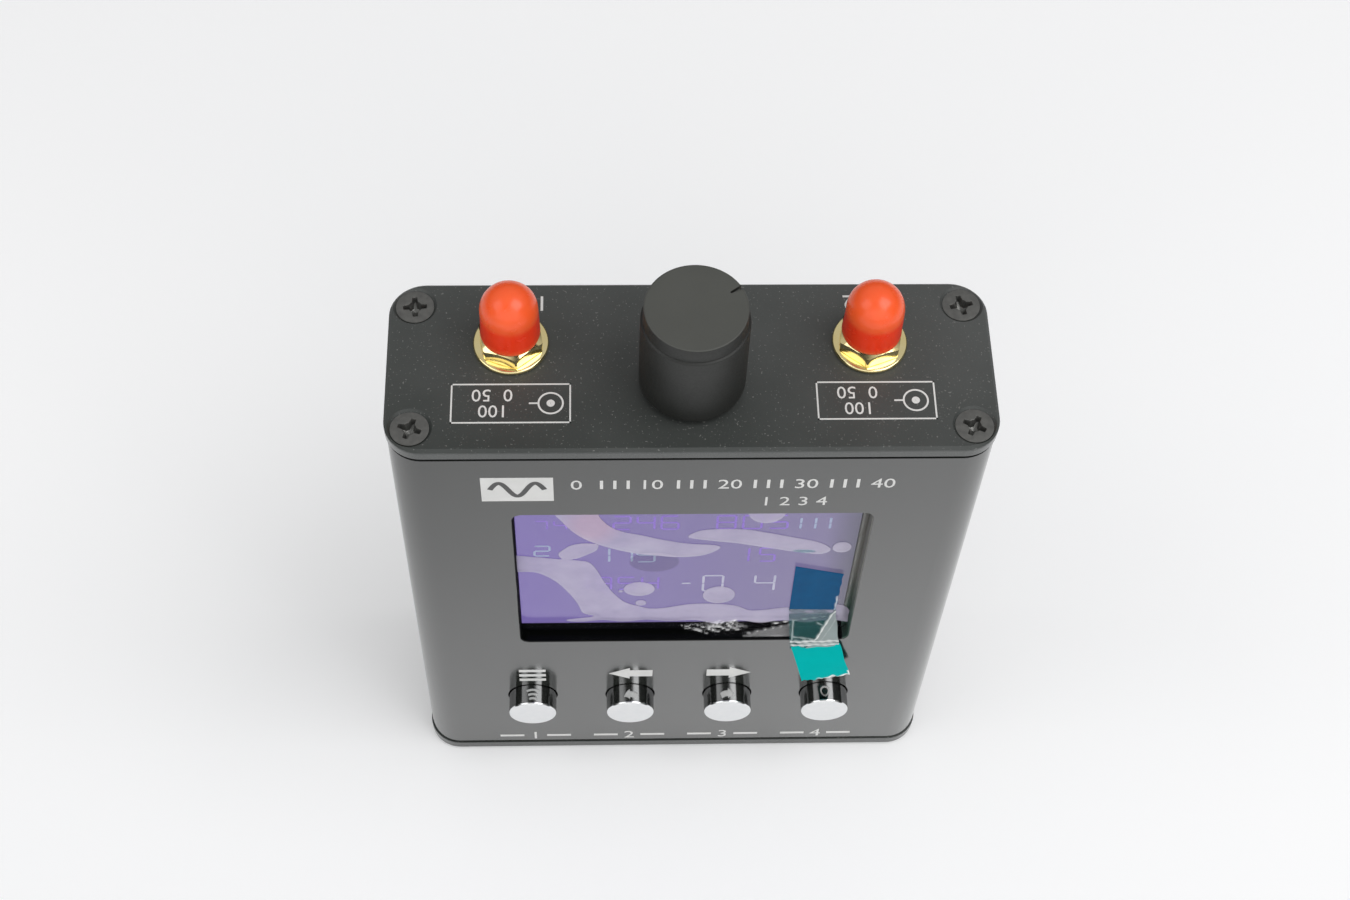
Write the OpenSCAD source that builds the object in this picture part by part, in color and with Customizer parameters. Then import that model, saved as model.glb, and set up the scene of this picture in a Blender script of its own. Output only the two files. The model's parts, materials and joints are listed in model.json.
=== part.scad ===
// Handheld antenna analyzer: an extruded case with two end plates, two coaxial ports
// under dust caps, a tuning knob, a display and four keys.
// Millimetres. The origin is the centre of the bottom plate's outer face,
// +X to the right, +Y to the back and +Z up to the ports.

/* [Case] */
// Width of the end plates
case_w = 82; // [80:0.5:100]
// Depth of the end plates, front to back
case_d = 27; // [26.5:0.25:32]
// Height of the case with both end plates
case_h = 96.4; // [95:0.2:120]
// Thickness of each end plate
plate_t = 2; // [1.8:0.1:3]
// Corner radius of the end plates
plate_corner_r = 5; // [4:0.1:6]
// Bevel round the outer face of each end plate
plate_bevel = 0.4; // [0.2:0.05:0.7]
// How far the sleeve lies inside the outline of the plates
sleeve_inset = 0.2; // [0.1:0.05:0.4]
// Wall of the sleeve
wall = 2; // [1.6:0.1:2.4]
// Radius of the screw channels in the sleeve's corners
channel_r = 3; // [2.6:0.1:3.2]
// Depth of the rails that hold the boards, off the side walls
rail_depth = 1.5; // [1:0.1:2.5]
// Width of the rail behind the display board and before the port board
rail_w = 1.2; // [0.8:0.1:1.6]

/* [Case screws] */
// Distance of a screw from the side edge of its plate
screw_from_side = 3.5; // [3.3:0.1:4.5]
// Distance of a screw from the front or back edge of its plate
screw_from_front = 3.7; // [3.5:0.1:4.5]
// Radius of the screw's thread
screw_r = 1.5; // [1.25:0.05:1.6]
// Radius of the countersunk head
screw_head_r = 2.75; // [2.5:0.05:2.9]
// Length of a screw under its plate's outer face
screw_l = 9; // [6:0.5:14]
// Radius of the countersink at the plate's face
countersink_r = 3; // [2.95:0.01:3.2]
// Radius of the screw's hole through the plate
screw_hole_r = 1.7; // [1.65:0.05:1.9]
// Length of the cross recess
recess_l = 3.2; // [2.6:0.1:3.6]
// Width of a slot of the cross recess
recess_w = 0.7; // [0.5:0.05:0.9]
// Depth of the cross recess
recess_depth = 1; // [0.6:0.1:1.1]

/* [Display] */
// Distance from the case's left side to the lit picture
picture_from_left = 16.55; // [15:0.05:22]
// Distance from the case's right side to the lit picture
picture_from_right = 16.45; // [16.3:0.05:22]
// Distance from the case's foot to the lit picture
picture_from_foot = 41.65; // [38:0.05:50]
// Distance from the case's top to the lit picture
picture_from_top = 18.05; // [17.5:0.05:26]
// Window beyond the picture on the left
window_left = 0.1; // [0.05:0.05:1]
// Window beyond the picture on the right
window_right = 1.05; // [0.05:0.05:1.5]
// Window beyond the picture at the top
window_top = 0.5; // [0.1:0.1:1.5]
// Window beyond the picture at the bottom
window_bottom = 2.1; // [0.5:0.1:3]
// Corner radius of the window
window_corner_r = 1.4; // [0.8:0.1:3]
// Bevel round the window's outer edge
window_bevel = 0.2; // [0.2:0.05:0.6]
// Glass beyond the picture on the left
glass_left = 2.8; // [1.5:0.1:4]
// Glass beyond the picture on the right, where the flat cable is bonded
glass_right = 8.2; // [6:0.1:8.4]
// Glass beyond the picture at the top and at the bottom
glass_margin = 3; // [2.4:0.1:3.5]
// Thickness of the display glass
glass_t = 1.2; // [0.9:0.1:1.6]
// Gap between the sleeve's wall and the display glass
glass_gap = 0.2; // [0.15:0.05:0.3]
// Thickness of the protective film
film_t = 0.1; // [0.05:0.01:0.12]
// Thickness of the backlight frame
backlight_t = 1.8; // [1.2:0.1:2]
// Bare strip of glass past the backlight, for the flat cable
flex_ledge = 2; // [1.6:0.1:3]
// Thickness of the foam tape between the backlight and the board
foam_t = 1.5; // [1.4:0.1:2]
// Strip left free of foam round the backlight
foam_margin = 2.5; // [2.3:0.1:6]
// Thickness of the display's flat cable
flex_t = 0.2; // [0.1:0.05:0.3]
// Width of the display's flat cable
flex_w = 22; // [14:1:30]
// Length of the flat cable's tail on the board
flex_tail = 5.5; // [3:0.5:6]

/* [Pull tab] */
// Thickness of the clear pull tape
tape_t = 0.1; // [0.05:0.01:0.12]
// Width of the pull tape and its tab
tape_w = 7.5; // [5:0.5:8]
// Distance from the picture's right side to the middle of the pull tape
tape_from_right = 4.05; // [3.8:0.05:10]
// Length of the tape stuck to the film
tape_stuck_l = 14; // [8:0.5:18]
// Height over which the tape rises from the film to the front of the case
tape_rise = 5.5; // [3:0.5:8]
// Length of the tape under the window's lower edge
tape_over_edge = 2.6; // [1.6:0.1:5]
// Gap between the front of the case and the tape
tape_off_front = 0.3; // [0.2:0.1:1]
// Length of the coloured tab
tab_l = 10.5; // [6:0.5:12]
// Thickness of the coloured tab
tab_t = 0.2; // [0.1:0.05:0.4]
// Lean of the tab to the right, seen from the front
tab_turn = 13; // [0:1:15]
// Lean of the tab away from the front wall
tab_tilt = 5; // [2:1:15]

/* [Keys] */
// Distance from the case's left side to the middle of the first key
key_from_left = 17.675; // [15:0.005:22]
// Distance from the case's right side to the middle of the last key
key_from_right = 17.375; // [15:0.005:22]
// Height of the keys over the case's foot
key_z = 20.4; // [16:0.1:22]
// Radius of a key cap
key_cap_r = 3.8; // [3:0.1:4.5]
// Gap round a key cap in its hole
key_hole_gap = 0.2; // [0.15:0.05:0.4]
// How far a key cap stands out of the sleeve
key_proud = 3.5; // [1.5:0.1:5]
// Bevel of a key cap's face
key_cap_bevel = 0.5; // [0.2:0.1:1]
// Skin of a key cap over its plunger
key_cap_skin = 1; // [0.6:0.1:2]
// Travel of a key
key_travel = 0.3; // [0.2:0.05:0.35]
// Side of a key switch
switch_side = 6; // [5:0.1:7]
// Height of a key switch over its board
switch_t = 3.5; // [2.5:0.1:3.8]
// Radius of a switch plunger
plunger_r = 1.75; // [1.4:0.05:2]
// Length of the plunger inside its switch
plunger_in = 1.5; // [1:0.1:1.8]

/* [Ports] */
// Distance of each port from its side of the case
port_from_side = 16.7; // [14:0.1:22]
// Place of the ports behind the case's middle
port_y = 3.4; // [2:0.1:4]
// Radius of the port's thread over its crests
port_thread_r = 3.175; // [2.5:0.005:3.4]
// Height of the port over the top plate
port_reach = 9.2; // [6:0.1:12]
// Side of the port's square body under the plate
port_body_side = 8; // [6.5:0.1:9]
// Thickness of the port's square body
port_body_t = 3; // [2:0.1:4]
// Length of the legs that straddle the board
port_leg_l = 4; // [2:0.5:6]
// Side of a leg
port_leg_side = 1; // [0.6:0.1:1.2]
// Radius of the port's insulator
insulator_r = 2.05; // [1.5:0.05:2.2]
// Radius of the port's open mouth
mouth_r = 2.35; // [2.25:0.05:2.6]
// Depth of the open mouth
mouth_depth = 1.9; // [1:0.1:3]
// Radius of the centre contact
contact_r = 0.64; // [0.5:0.01:0.8]
// Radius of the hole in the centre contact
contact_hole_r = 0.46; // [0.3:0.01:0.47]
// Depth of the hole in the centre contact
contact_hole_depth = 3; // [1:0.5:5]
// Radius of the contact's tail on the board
contact_tail_r = 0.4; // [0.3:0.05:0.45]
// Outer radius of the port washer
port_washer_r = 5.15; // [4.7:0.05:6]
// Thickness of the port washer
port_washer_t = 0.7; // [0.4:0.05:1]
// Width of the port nut across its flats
port_nut_flats = 8; // [7.6:0.1:9]
// Height of the port nut
port_nut_h = 2.2; // [1.5:0.1:3]
// Turn of each nut about its port, from a corner at the front
port_nut_turns = [10, -9];
// Outer radius of a dust cap
cap_r = 4.15; // [3.9:0.05:5]
// Height of a dust cap's straight side
cap_side_h = 4.9; // [4.8:0.1:8]

/* [Knob] */
// Place of the knob before the case's middle
knob_y = -2.6; // [-3.2:0.1:-2]
// Radius of the knob
knob_r = 7.2; // [6.8:0.1:9]
// Height of the knob
knob_h = 16; // [12:0.5:20]
// Gap between the knob and the top plate
knob_gap = 1; // [0.8:0.1:2]
// Width of the bevel on the knob's top
knob_bevel_w = 0.4; // [0.3:0.1:2]
// Height of the bevel on the knob's top
knob_bevel_h = 2.6; // [0.5:0.1:3]
// Roof of the knob over its shaft
knob_roof = 2; // [1.5:0.1:4]
// Wall of the knob round its nut
knob_wall = 0.9; // [0.7:0.1:1]
// Turn of the pointer notch from +X towards the back
notch_turn = 28; // [0:1:359]
// Width of the pointer notch
notch_w = 0.5; // [0.3:0.1:1]
// Depth of the pointer notch
notch_depth = 0.4; // [0.2:0.1:1]
// Length of the pointer notch
notch_l = 2; // [1:0.1:4]
// Travel of the knob when pushed
knob_travel = 0.5; // [0.3:0.1:0.6]

/* [Encoder] */
// Side of the encoder's body
encoder_side = 12; // [11:0.1:12.4]
// Height of the encoder's body with its metal cover
encoder_h = 6.5; // [5.5:0.1:7]
// Thickness of the encoder's metal cover
encoder_cover_t = 1; // [0.6:0.1:1.4]
// Thickness of the floor under the rotor
encoder_floor_t = 1.2; // [0.8:0.1:1.6]
// Radius of the rotor
rotor_r = 4.9; // [4:0.1:5.2]
// Radius of the threaded bushing
bushing_r = 3.5; // [3.3:0.1:4]
// Height of the bushing over the top plate
bushing_reach = 5; // [3.5:0.1:7]
// Radius of the encoder's shaft
shaft_r = 3; // [2.4:0.1:3]
// Depth of the flat on the shaft
shaft_flat = 1.5; // [0.8:0.1:1.8]
// Side of the square drive at the shaft's foot
drive_side = 3.6; // [2.6:0.1:3.8]
// Radius of the encoder's washer
encoder_washer_r = 5.7; // [5:0.1:5.8]
// Thickness of the encoder's washer
encoder_washer_t = 0.5; // [0.3:0.1:0.8]
// Width of the encoder's nut across its flats
encoder_nut_flats = 10; // [9:0.1:10.2]
// Height of the encoder's nut
encoder_nut_h = 2; // [1.5:0.1:2.4]
// Length of the encoder's pins
pin_l = 4.5; // [3:0.5:6]
// Side of an encoder pin
pin_side = 0.5; // [0.3:0.05:0.8]
// Distance between the encoder's pins
pin_pitch = 2.5; // [2:0.1:2.8]

/* [Boards and battery] */
// Thickness of both boards
board_t = 1.6; // [1:0.1:1.8]
// Top edge of the display board below the encoder
board_under_encoder = 0.5; // [0.3:0.1:2]
// Width of the board-to-board connector
header_w = 20; // [10:1:30]
// Height of the board-to-board connector along the boards
header_h = 5; // [3:0.5:8]
// Height of the connector's middle over the case's foot
header_z = 30; // [26:1:34]
// Length of the pin half of the connector
header_pins_l = 2.5; // [2:0.1:4]
// Width and height of the shield can
can_side = [34, 36];
// Depth of the shield can
can_t = 2.5; // [1.8:0.1:3.5]
// Sheet of the shield can
can_sheet = 0.3; // [0.2:0.05:0.4]
// Height of the can's middle over the picture's middle
can_over_picture = 2; // [-2:0.5:3]
// Width, height and depth of the processor
processor_size = [12, 12, 1.4];
// Width, height and depth of the chip in the can
radio_chip_size = [8, 8, 1];
// Distance of the battery from each side of the case
battery_from_side = 16; // [12:0.5:24]
// Distance from the case's top to the battery
battery_from_top = 18.4; // [17.5:0.1:30]
// Distance from the case's foot to the battery
battery_from_foot = 20; // [8:0.5:30]
// Thickness of the foam between the port board and the battery
battery_foam_t = 0.6; // [0.4:0.1:1]
// Radius of the battery's long edges
battery_edge_r = 1.8; // [0.5:0.1:2.4]
// Width of the battery's connector
battery_plug_w = 8; // [6:0.5:12]
// Height of the battery's connector
battery_plug_h = 5; // [4:0.5:6]
// Length of the battery's leads
battery_lead_l = 3; // [2:0.5:4]
// Radius of a battery lead
battery_lead_r = 0.6; // [0.4:0.1:0.8]

/* [Foot] */
// Distance from the case's left side to the middle of the charging socket
usb_from_side = 23; // [18:0.5:30]
// Width of the charging socket
usb_w = 7.6; // [6:0.1:9]
// Thickness of the charging socket
usb_t = 2.9; // [2.4:0.1:3.4]
// Length of the charging socket
usb_l = 5.6; // [4.5:0.1:8]
// Sheet of the charging socket
usb_sheet = 0.35; // [0.2:0.05:0.4]
// Distance from the case's right side to the middle of the power switch
power_from_side = 23; // [18:0.5:30]
// Width, depth and height of the power switch
power_size = [8.6, 3.8, 3.6];
// Width of the power switch's lever
lever_w = 2; // [1.4:0.1:2.4]
// Thickness of the lever
lever_t = 1.5; // [1:0.1:1.8]
// Travel of the lever
lever_travel = 2.5; // [1.5:0.1:2.6]
// Radius of the charging light
led_r = 1.5; // [1:0.1:1.6]
// Depth of the light, the lever and the socket behind the foot
foot_sink = 0.4; // [0.2:0.1:0.8]

/* [Clearances] */
// Gap of seated pieces that are put in by hand
seat_gap = 0.2; // [0.1:0.05:0.3]
// Gap round turned pieces that are pushed together
push_gap = 0.03; // [0.02:0.01:0.05]
// Running gap of a shaft or plunger in its bore
running_gap = 0.06; // [0.04:0.01:0.1]
// Gap of a screw thread in its channel
thread_gap = 0.05; // [0.03:0.01:0.1]
// Gap of a board in its rails
board_gap = 0.15; // [0.1:0.05:0.25]
// Gap of moving pieces inside a switch or the encoder
inner_gap = 0.3; // [0.25:0.05:0.35]
// Gap round a lever or socket in the bottom plate
opening_gap = 0.4; // [0.3:0.05:0.6]

/* [Hidden] */
$fn = 64;
// Overshoot of a cutting tool past the face that it opens
over = 0.5;
// Straight pieces in a small bent profile
bend_steps = 12;

sleeve_w = case_w - 2 * sleeve_inset;
sleeve_d = case_d - 2 * sleeve_inset;
sleeve_h = case_h - 2 * plate_t;
sleeve_corner_r = plate_corner_r - sleeve_inset;
front_y = -sleeve_d / 2;
inner_front_y = front_y + wall;
inner_back_y = sleeve_d / 2 - wall;
inner_half_w = sleeve_w / 2 - wall;
lid_z = case_h - plate_t;
screw_x = case_w / 2 - screw_from_side;
screw_y = case_d / 2 - screw_from_front;
screw_turns = [35, 12, -20, 62];

// The display, from the front wall inwards
picture_w = case_w - picture_from_left - picture_from_right;
picture_h = case_h - picture_from_foot - picture_from_top;
picture_x = (picture_from_left - picture_from_right) / 2;
picture_z = picture_from_foot + picture_h / 2;
window_w = picture_w + window_left + window_right;
window_h = picture_h + window_top + window_bottom;
window_x = picture_x + (window_right - window_left) / 2;
window_z = picture_z + (window_top - window_bottom) / 2;
glass_w = picture_w + glass_left + glass_right;
glass_h = picture_h + 2 * glass_margin;
glass_x = picture_x + (glass_right - glass_left) / 2;
glass_y = inner_front_y + glass_gap;
backlight_y = glass_y + glass_t;
foam_y = backlight_y + backlight_t;
board_y = foam_y + foam_t;
board_back_y = board_y + board_t;
board_w = 2 * (inner_half_w - inner_gap);
board_foot_z = plate_t + seat_gap;

// The ports and the board that they are soldered to
port_x = case_w / 2 - port_from_side;
port_board_y = port_y + contact_tail_r;
port_board_back_y = port_board_y + board_t;
port_bore_r = insulator_r + push_gap;
port_body_z = lid_z - port_body_t;
port_board_top_z = port_body_z - seat_gap;
port_tip_z = case_h + port_reach;
mouth_z = port_tip_z - mouth_depth;
port_hole_r = port_thread_r + seat_gap;
nut_top_z = case_h + port_washer_t + port_nut_h;
cap_foot_z = nut_top_z + seat_gap / 2;
cap_bore_r = port_thread_r + running_gap;
cap_bore_top_z = port_tip_z + seat_gap;

// The encoder and its knob
encoder_z = lid_z - encoder_h;
encoder_cover_z = lid_z - encoder_cover_t;
rotor_foot_z = encoder_z + encoder_floor_t + inner_gap;
shaft_foot_z = encoder_z + encoder_floor_t + knob_travel + inner_gap;
bushing_bore_r = shaft_r + running_gap;
bushing_tip_z = case_h + bushing_reach;
encoder_nut_z = case_h + encoder_washer_t;
knob_foot_z = case_h + knob_gap;
knob_top_z = knob_foot_z + knob_h;
knob_recess_top_z = bushing_tip_z + knob_travel + inner_gap;
shaft_top_z = knob_top_z - knob_roof;
board_top_z = encoder_z - board_under_encoder;
can_z = picture_z + can_over_picture;

// The keys, from the face of the caps inwards
key_face_y = front_y - key_proud;
switch_face_y = board_y - switch_t;
cap_back_y = switch_face_y - key_travel - inner_gap;
plunger_tip_y = key_face_y + key_cap_skin;
plunger_foot_y = switch_face_y + plunger_in;
key_pitch = (case_w - key_from_left - key_from_right) / 3;
key_xs = [for (i = [0:3]) key_from_left - case_w / 2 + i * key_pitch];

// The battery lies on the back wall
battery_w = case_w - 2 * battery_from_side;
battery_back_y = inner_back_y - inner_gap;
battery_y = port_board_back_y + battery_foam_t;
battery_t = battery_back_y - battery_y;
battery_top_z = case_h - battery_from_top;
battery_h = battery_top_z - battery_from_foot;

// The pull tape leaves the film and passes over the window's lower edge
film_y = glass_y - film_t;
tape_x = picture_x + picture_w / 2 - tape_from_right;
tape_y = film_y - tape_t / 2;
window_foot_z = window_z - window_h / 2;
tape_lip_y = front_y - tape_off_front - tape_t / 2;
tape_lip_z = window_foot_z + window_bevel;

// The flat cable of the display turns back under the glass
flex_bend_r = (board_y - backlight_y - flex_t) / 2;
flex_bend_x = glass_x + glass_w / 2 - 0.2;

// The pieces on the foot
usb_x = case_w / 2 - usb_from_side;
power_x = case_w / 2 - power_from_side;

// ---- Shared shapes ----

// A flat rectangle with round corners, centred
module rounded_plan(w, d, r) {
    square([w - 2 * r, d], center = true);
    square([w, d - 2 * r], center = true);
    for (x = [-1, 1], y = [-1, 1])
        translate([x * (w / 2 - r), y * (d / 2 - r)]) circle(r);
}

module rounded_block(w, d, h, r) linear_extrude(h) rounded_plan(w, d, r);

// A round-cornered block whose top edge leans in by the bevel, or out where the bevel is negative
module bevelled_block(w, d, h, r, bevel) {
    shoulder = h - abs(bevel);
    module section(half)
        polygon([[-half, 0], [half, 0], [half, shoulder], [half - bevel, h],
                 [bevel - half, h], [-half, shoulder]]);
    translate([0, d / 2 - r, 0]) rotate([90, 0, 0])
        linear_extrude(d - 2 * r) section(w / 2);
    translate([r - w / 2, 0, 0]) rotate([90, 0, 90])
        linear_extrude(w - 2 * r) section(d / 2);
    for (x = [-1, 1], y = [-1, 1])
        translate([x * (w / 2 - r), y * (d / 2 - r), 0]) rotate_extrude()
            polygon([[0, 0], [r, 0], [r, shoulder], [r - bevel, h], [0, h]]);
}

// A box from its lowest corner in X, Y and Z, centred on x
module box_at(x, y, z, size)
    translate([x - size[0] / 2, y, z]) cube(size);

// A tube standing on z
module tube(r, bore_r, h) difference() {
    cylinder(r = r, h = h);
    translate([0, 0, -over]) cylinder(r = bore_r, h = h + 2 * over);
}

// A hexagonal nut whose top corners are cut by a cone, one corner towards -Y before its turn
module hex_nut(flats, bore_r, h, turn) {
    corner_r = flats / sqrt(3);
    cone_top_r = flats / 2;
    cone_foot_r = corner_r + over;
    rotate(turn - 90) difference() {
        intersection() {
            cylinder(r = corner_r, h = h, $fn = 6);
            rotate(30) rotate_extrude()
                polygon([[0, 0], [cone_foot_r, 0], [cone_foot_r, h - (cone_foot_r - cone_top_r) / 2],
                         [cone_top_r, h], [0, h]]);
        }
        translate([0, 0, -over]) cylinder(r = bore_r, h = h + 2 * over);
    }
}

// The points on one side of a path: each moved off the path along its normal
function side_points(path, off) = [
    for (i = [0:len(path) - 1])
        let (a = path[max(i - 1, 0)], b = path[min(i + 1, len(path) - 1)],
             run = (b - a) / norm(b - a))
        path[i] + off * [-run[1], run[0]]
];

// A flat strip of even thickness along a path
module strip(path, t)
    polygon(concat(side_points(path, t / 2),
                   [for (i = [len(path) - 1:-1:0]) side_points(path, -t / 2)[i]]));

module at_screws() for (x = [-1, 1], y = [-1, 1])
    translate([x * screw_x, y * screw_y]) children();

// Stands its children on the front wall, with their own +Z pointing out of it
module on_front(x, y, z) translate([x, y, z]) rotate([90, 0, 0]) children();

// ---- Case ----

module rail(side, y, w)
    translate([side * (inner_half_w - rail_depth / 2 + over / 2), y + w / 2])
        square([rail_depth + over, w], center = true);

// The extruded section: outer wall, corner channels for the screws and rails for the boards
module sleeve_section() difference() {
    rounded_plan(sleeve_w, sleeve_d, sleeve_corner_r);
    difference() {
        rounded_plan(sleeve_w - 2 * wall, sleeve_d - 2 * wall, sleeve_corner_r - wall);
        at_screws() circle(channel_r);
        for (side = [-1, 1]) {
            rail(side, board_back_y + board_gap, rail_w);
            rail(side, port_board_y - board_gap - rail_w, rail_w);
            rail(side, port_board_back_y + board_gap, screw_y - port_board_back_y - board_gap);
        }
    }
    at_screws() circle(screw_r + thread_gap);
}

module case_sleeve() color("dimgray") difference() {
    translate([0, 0, plate_t]) linear_extrude(sleeve_h) sleeve_section();
    on_front(window_x, inner_front_y + over, window_z) {
        bevelled_block(window_w, window_h, wall + over, window_corner_r, -window_bevel);
        translate([0, 0, wall + over])
            rounded_block(window_w + 2 * window_bevel, window_h + 2 * window_bevel, over,
                          window_corner_r + window_bevel);
    }
    for (x = key_xs) on_front(x, inner_front_y + over, key_z)
        cylinder(r = key_cap_r + key_hole_gap, h = wall + 2 * over);
}

// Both end plates share this shape, with its outer face up
module end_plate() difference() {
    bevelled_block(case_w, case_d, plate_t, plate_corner_r, plate_bevel);
    at_screws() {
        translate([0, 0, -over]) cylinder(r = screw_hole_r, h = plate_t + 2 * over);
        translate([0, 0, plate_t - countersink_r])
            cylinder(r1 = 0, r2 = countersink_r + over, h = countersink_r + over);
    }
}

module top_plate() color([0.12, 0.12, 0.12]) translate([0, 0, lid_z]) difference() {
    end_plate();
    for (side = [-1, 1]) translate([side * port_x, port_y, -over])
        cylinder(r = port_hole_r, h = plate_t + 2 * over);
    translate([0, knob_y, -over]) cylinder(r = bushing_r + seat_gap, h = plate_t + 2 * over);
}

module bottom_plate() color([0.12, 0.12, 0.12]) difference() {
    translate([0, 0, plate_t]) mirror([0, 0, 1]) end_plate();
    translate([-usb_x, board_back_y + usb_t / 2, -over])
        rounded_block(usb_w + 2 * opening_gap, usb_t + 2 * opening_gap, plate_t + 2 * over, 1);
    box_at(power_x, board_back_y + power_size[1] / 2 - lever_t / 2 - opening_gap, -over,
           [lever_w + lever_travel + 2 * opening_gap, lever_t + 2 * opening_gap,
            plate_t + 2 * over]);
    translate([0, board_back_y + led_r + seat_gap, -over])
        cylinder(r = led_r + seat_gap, h = plate_t + 2 * over);
}

// A countersunk screw that points down from a plate's outer face, sunk until its cone nearly meets its seat
module screw(turn) {
    sink = countersink_r - screw_head_r - thread_gap;
    head_h = screw_head_r - screw_r;
    translate([0, 0, -sink]) difference() {
        union() {
            translate([0, 0, -head_h]) cylinder(r1 = screw_r, r2 = screw_head_r, h = head_h);
            translate([0, 0, -screw_l]) cylinder(r = screw_r, h = screw_l - head_h);
        }
        rotate(turn) for (a = [0, 90]) rotate(a)
            box_at(0, -recess_w / 2, -recess_depth, [recess_l, recess_w, recess_depth + over]);
    }
}

module plate_screws() for (i = [0:3])
    translate([(i % 2 == 0 ? -1 : 1) * screw_x, (i < 2 ? 1 : -1) * screw_y])
        screw(screw_turns[i]);

module top_plate_screws() color([0.1, 0.1, 0.1]) translate([0, 0, case_h]) plate_screws();

module bottom_plate_screws() color([0.1, 0.1, 0.1]) mirror([0, 0, 1]) plate_screws();

// ---- Ports ----

module at_port(side) translate([side * port_x, port_y]) children();

module port_jack(side) color("gold") at_port(side) difference() {
    union() {
        translate([0, 0, port_body_z + port_body_t / 2])
            cube([port_body_side, port_body_side, port_body_t], center = true);
        translate([0, 0, lid_z - over]) cylinder(r = port_thread_r, h = port_tip_z - lid_z + over);
        for (x = [-1, 1], back = [0, 1])
            box_at(x * (port_body_side - port_leg_side) / 2,
                   (back == 0 ? contact_tail_r - port_leg_side : contact_tail_r + board_t),
                   port_body_z - port_leg_l, [port_leg_side, port_leg_side, port_leg_l + over]);
    }
    translate([0, 0, port_body_z - over]) cylinder(r = port_bore_r, h = port_tip_z);
    translate([0, 0, mouth_z]) cylinder(r = mouth_r, h = mouth_depth + over);
}

module port_insulator(side) color("white") at_port(side)
    translate([0, 0, port_body_z]) tube(insulator_r, contact_r + push_gap, mouth_z - port_body_z);

module port_contact(side) color("gold") at_port(side) difference() {
    union() {
        translate([0, 0, port_body_z]) cylinder(r = contact_r, h = mouth_z - port_body_z);
        translate([0, 0, port_body_z - port_leg_l])
            cylinder(r = contact_tail_r - push_gap, h = port_leg_l + over);
    }
    translate([0, 0, mouth_z - contact_hole_depth])
        cylinder(r = contact_hole_r, h = contact_hole_depth + over);
}

module port_washer(side) color("gold") at_port(side)
    translate([0, 0, case_h]) tube(port_washer_r, port_hole_r, port_washer_t);

module port_nut(side) color("gold") at_port(side)
    translate([0, 0, case_h + port_washer_t])
        hex_nut(port_nut_flats, port_thread_r + thread_gap, port_nut_h,
                port_nut_turns[side < 0 ? 0 : 1]);

// A soft cap with a domed end and a bore that stops just over the port
module dust_cap(side) color("orangered") at_port(side) {
    side_top_z = cap_foot_z + cap_side_h;
    rotate_extrude() difference() {
        union() {
            translate([0, cap_foot_z]) square([cap_r, cap_side_h]);
            intersection() {
                translate([0, side_top_z]) circle(cap_r);
                translate([0, side_top_z]) square(cap_r);
            }
        }
        translate([-over, cap_foot_z - over]) square([cap_bore_r + over,
                                                     cap_bore_top_z - cap_foot_z + over]);
    }
}

// ---- Knob and encoder ----

module at_knob() translate([0, knob_y]) children();

// The shaft's round section with its flat at the back
module shaft_plan(gap) difference() {
    circle(shaft_r + gap);
    translate([-shaft_r - over, shaft_r - shaft_flat + gap]) square([2 * shaft_r + 2 * over, shaft_r]);
}

module encoder_body() color([0.15, 0.15, 0.15]) at_knob() difference() {
    translate([0, 0, (encoder_z + encoder_cover_z) / 2])
        cube([encoder_side, encoder_side, encoder_cover_z - encoder_z], center = true);
    translate([0, 0, encoder_z + encoder_floor_t]) cylinder(r = rotor_r + inner_gap, h = encoder_h);
}

module encoder_pins() color("silver") for (i = [-2:2])
    box_at(i * pin_pitch, board_back_y, encoder_z - pin_l, [pin_side, pin_side, pin_l]);

module encoder_bushing() color("silver") at_knob() difference() {
    union() {
        translate([0, 0, lid_z - encoder_cover_t / 2])
            cube([encoder_side, encoder_side, encoder_cover_t], center = true);
        translate([0, 0, lid_z - over]) cylinder(r = bushing_r, h = bushing_tip_z - lid_z + over);
    }
    translate([0, 0, encoder_z]) cylinder(r = bushing_bore_r, h = bushing_tip_z);
}

module encoder_rotor() color("ivory") at_knob() difference() {
    rotor_h = encoder_cover_z - inner_gap - rotor_foot_z;
    translate([0, 0, rotor_foot_z]) cylinder(r = rotor_r, h = rotor_h);
    bore_side = drive_side + 2 * running_gap;
    translate([-bore_side / 2, -bore_side / 2, rotor_foot_z - over])
        cube([bore_side, bore_side, rotor_h + 2 * over]);
}

module encoder_shaft() color("silver") at_knob() {
    drive_top_z = encoder_cover_z + encoder_cover_t / 2;
    translate([-drive_side / 2, -drive_side / 2, shaft_foot_z])
        cube([drive_side, drive_side, drive_top_z - shaft_foot_z]);
    translate([0, 0, drive_top_z]) cylinder(r = shaft_r, h = knob_recess_top_z - drive_top_z);
    translate([0, 0, knob_recess_top_z])
        linear_extrude(shaft_top_z - knob_recess_top_z) shaft_plan(0);
}

module encoder_washer() color("silver") at_knob()
    translate([0, 0, case_h]) tube(encoder_washer_r, bushing_r + seat_gap, encoder_washer_t);

module encoder_nut() color("silver") at_knob() translate([0, 0, encoder_nut_z])
    hex_nut(encoder_nut_flats, bushing_r + thread_gap, encoder_nut_h, 0);

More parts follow.
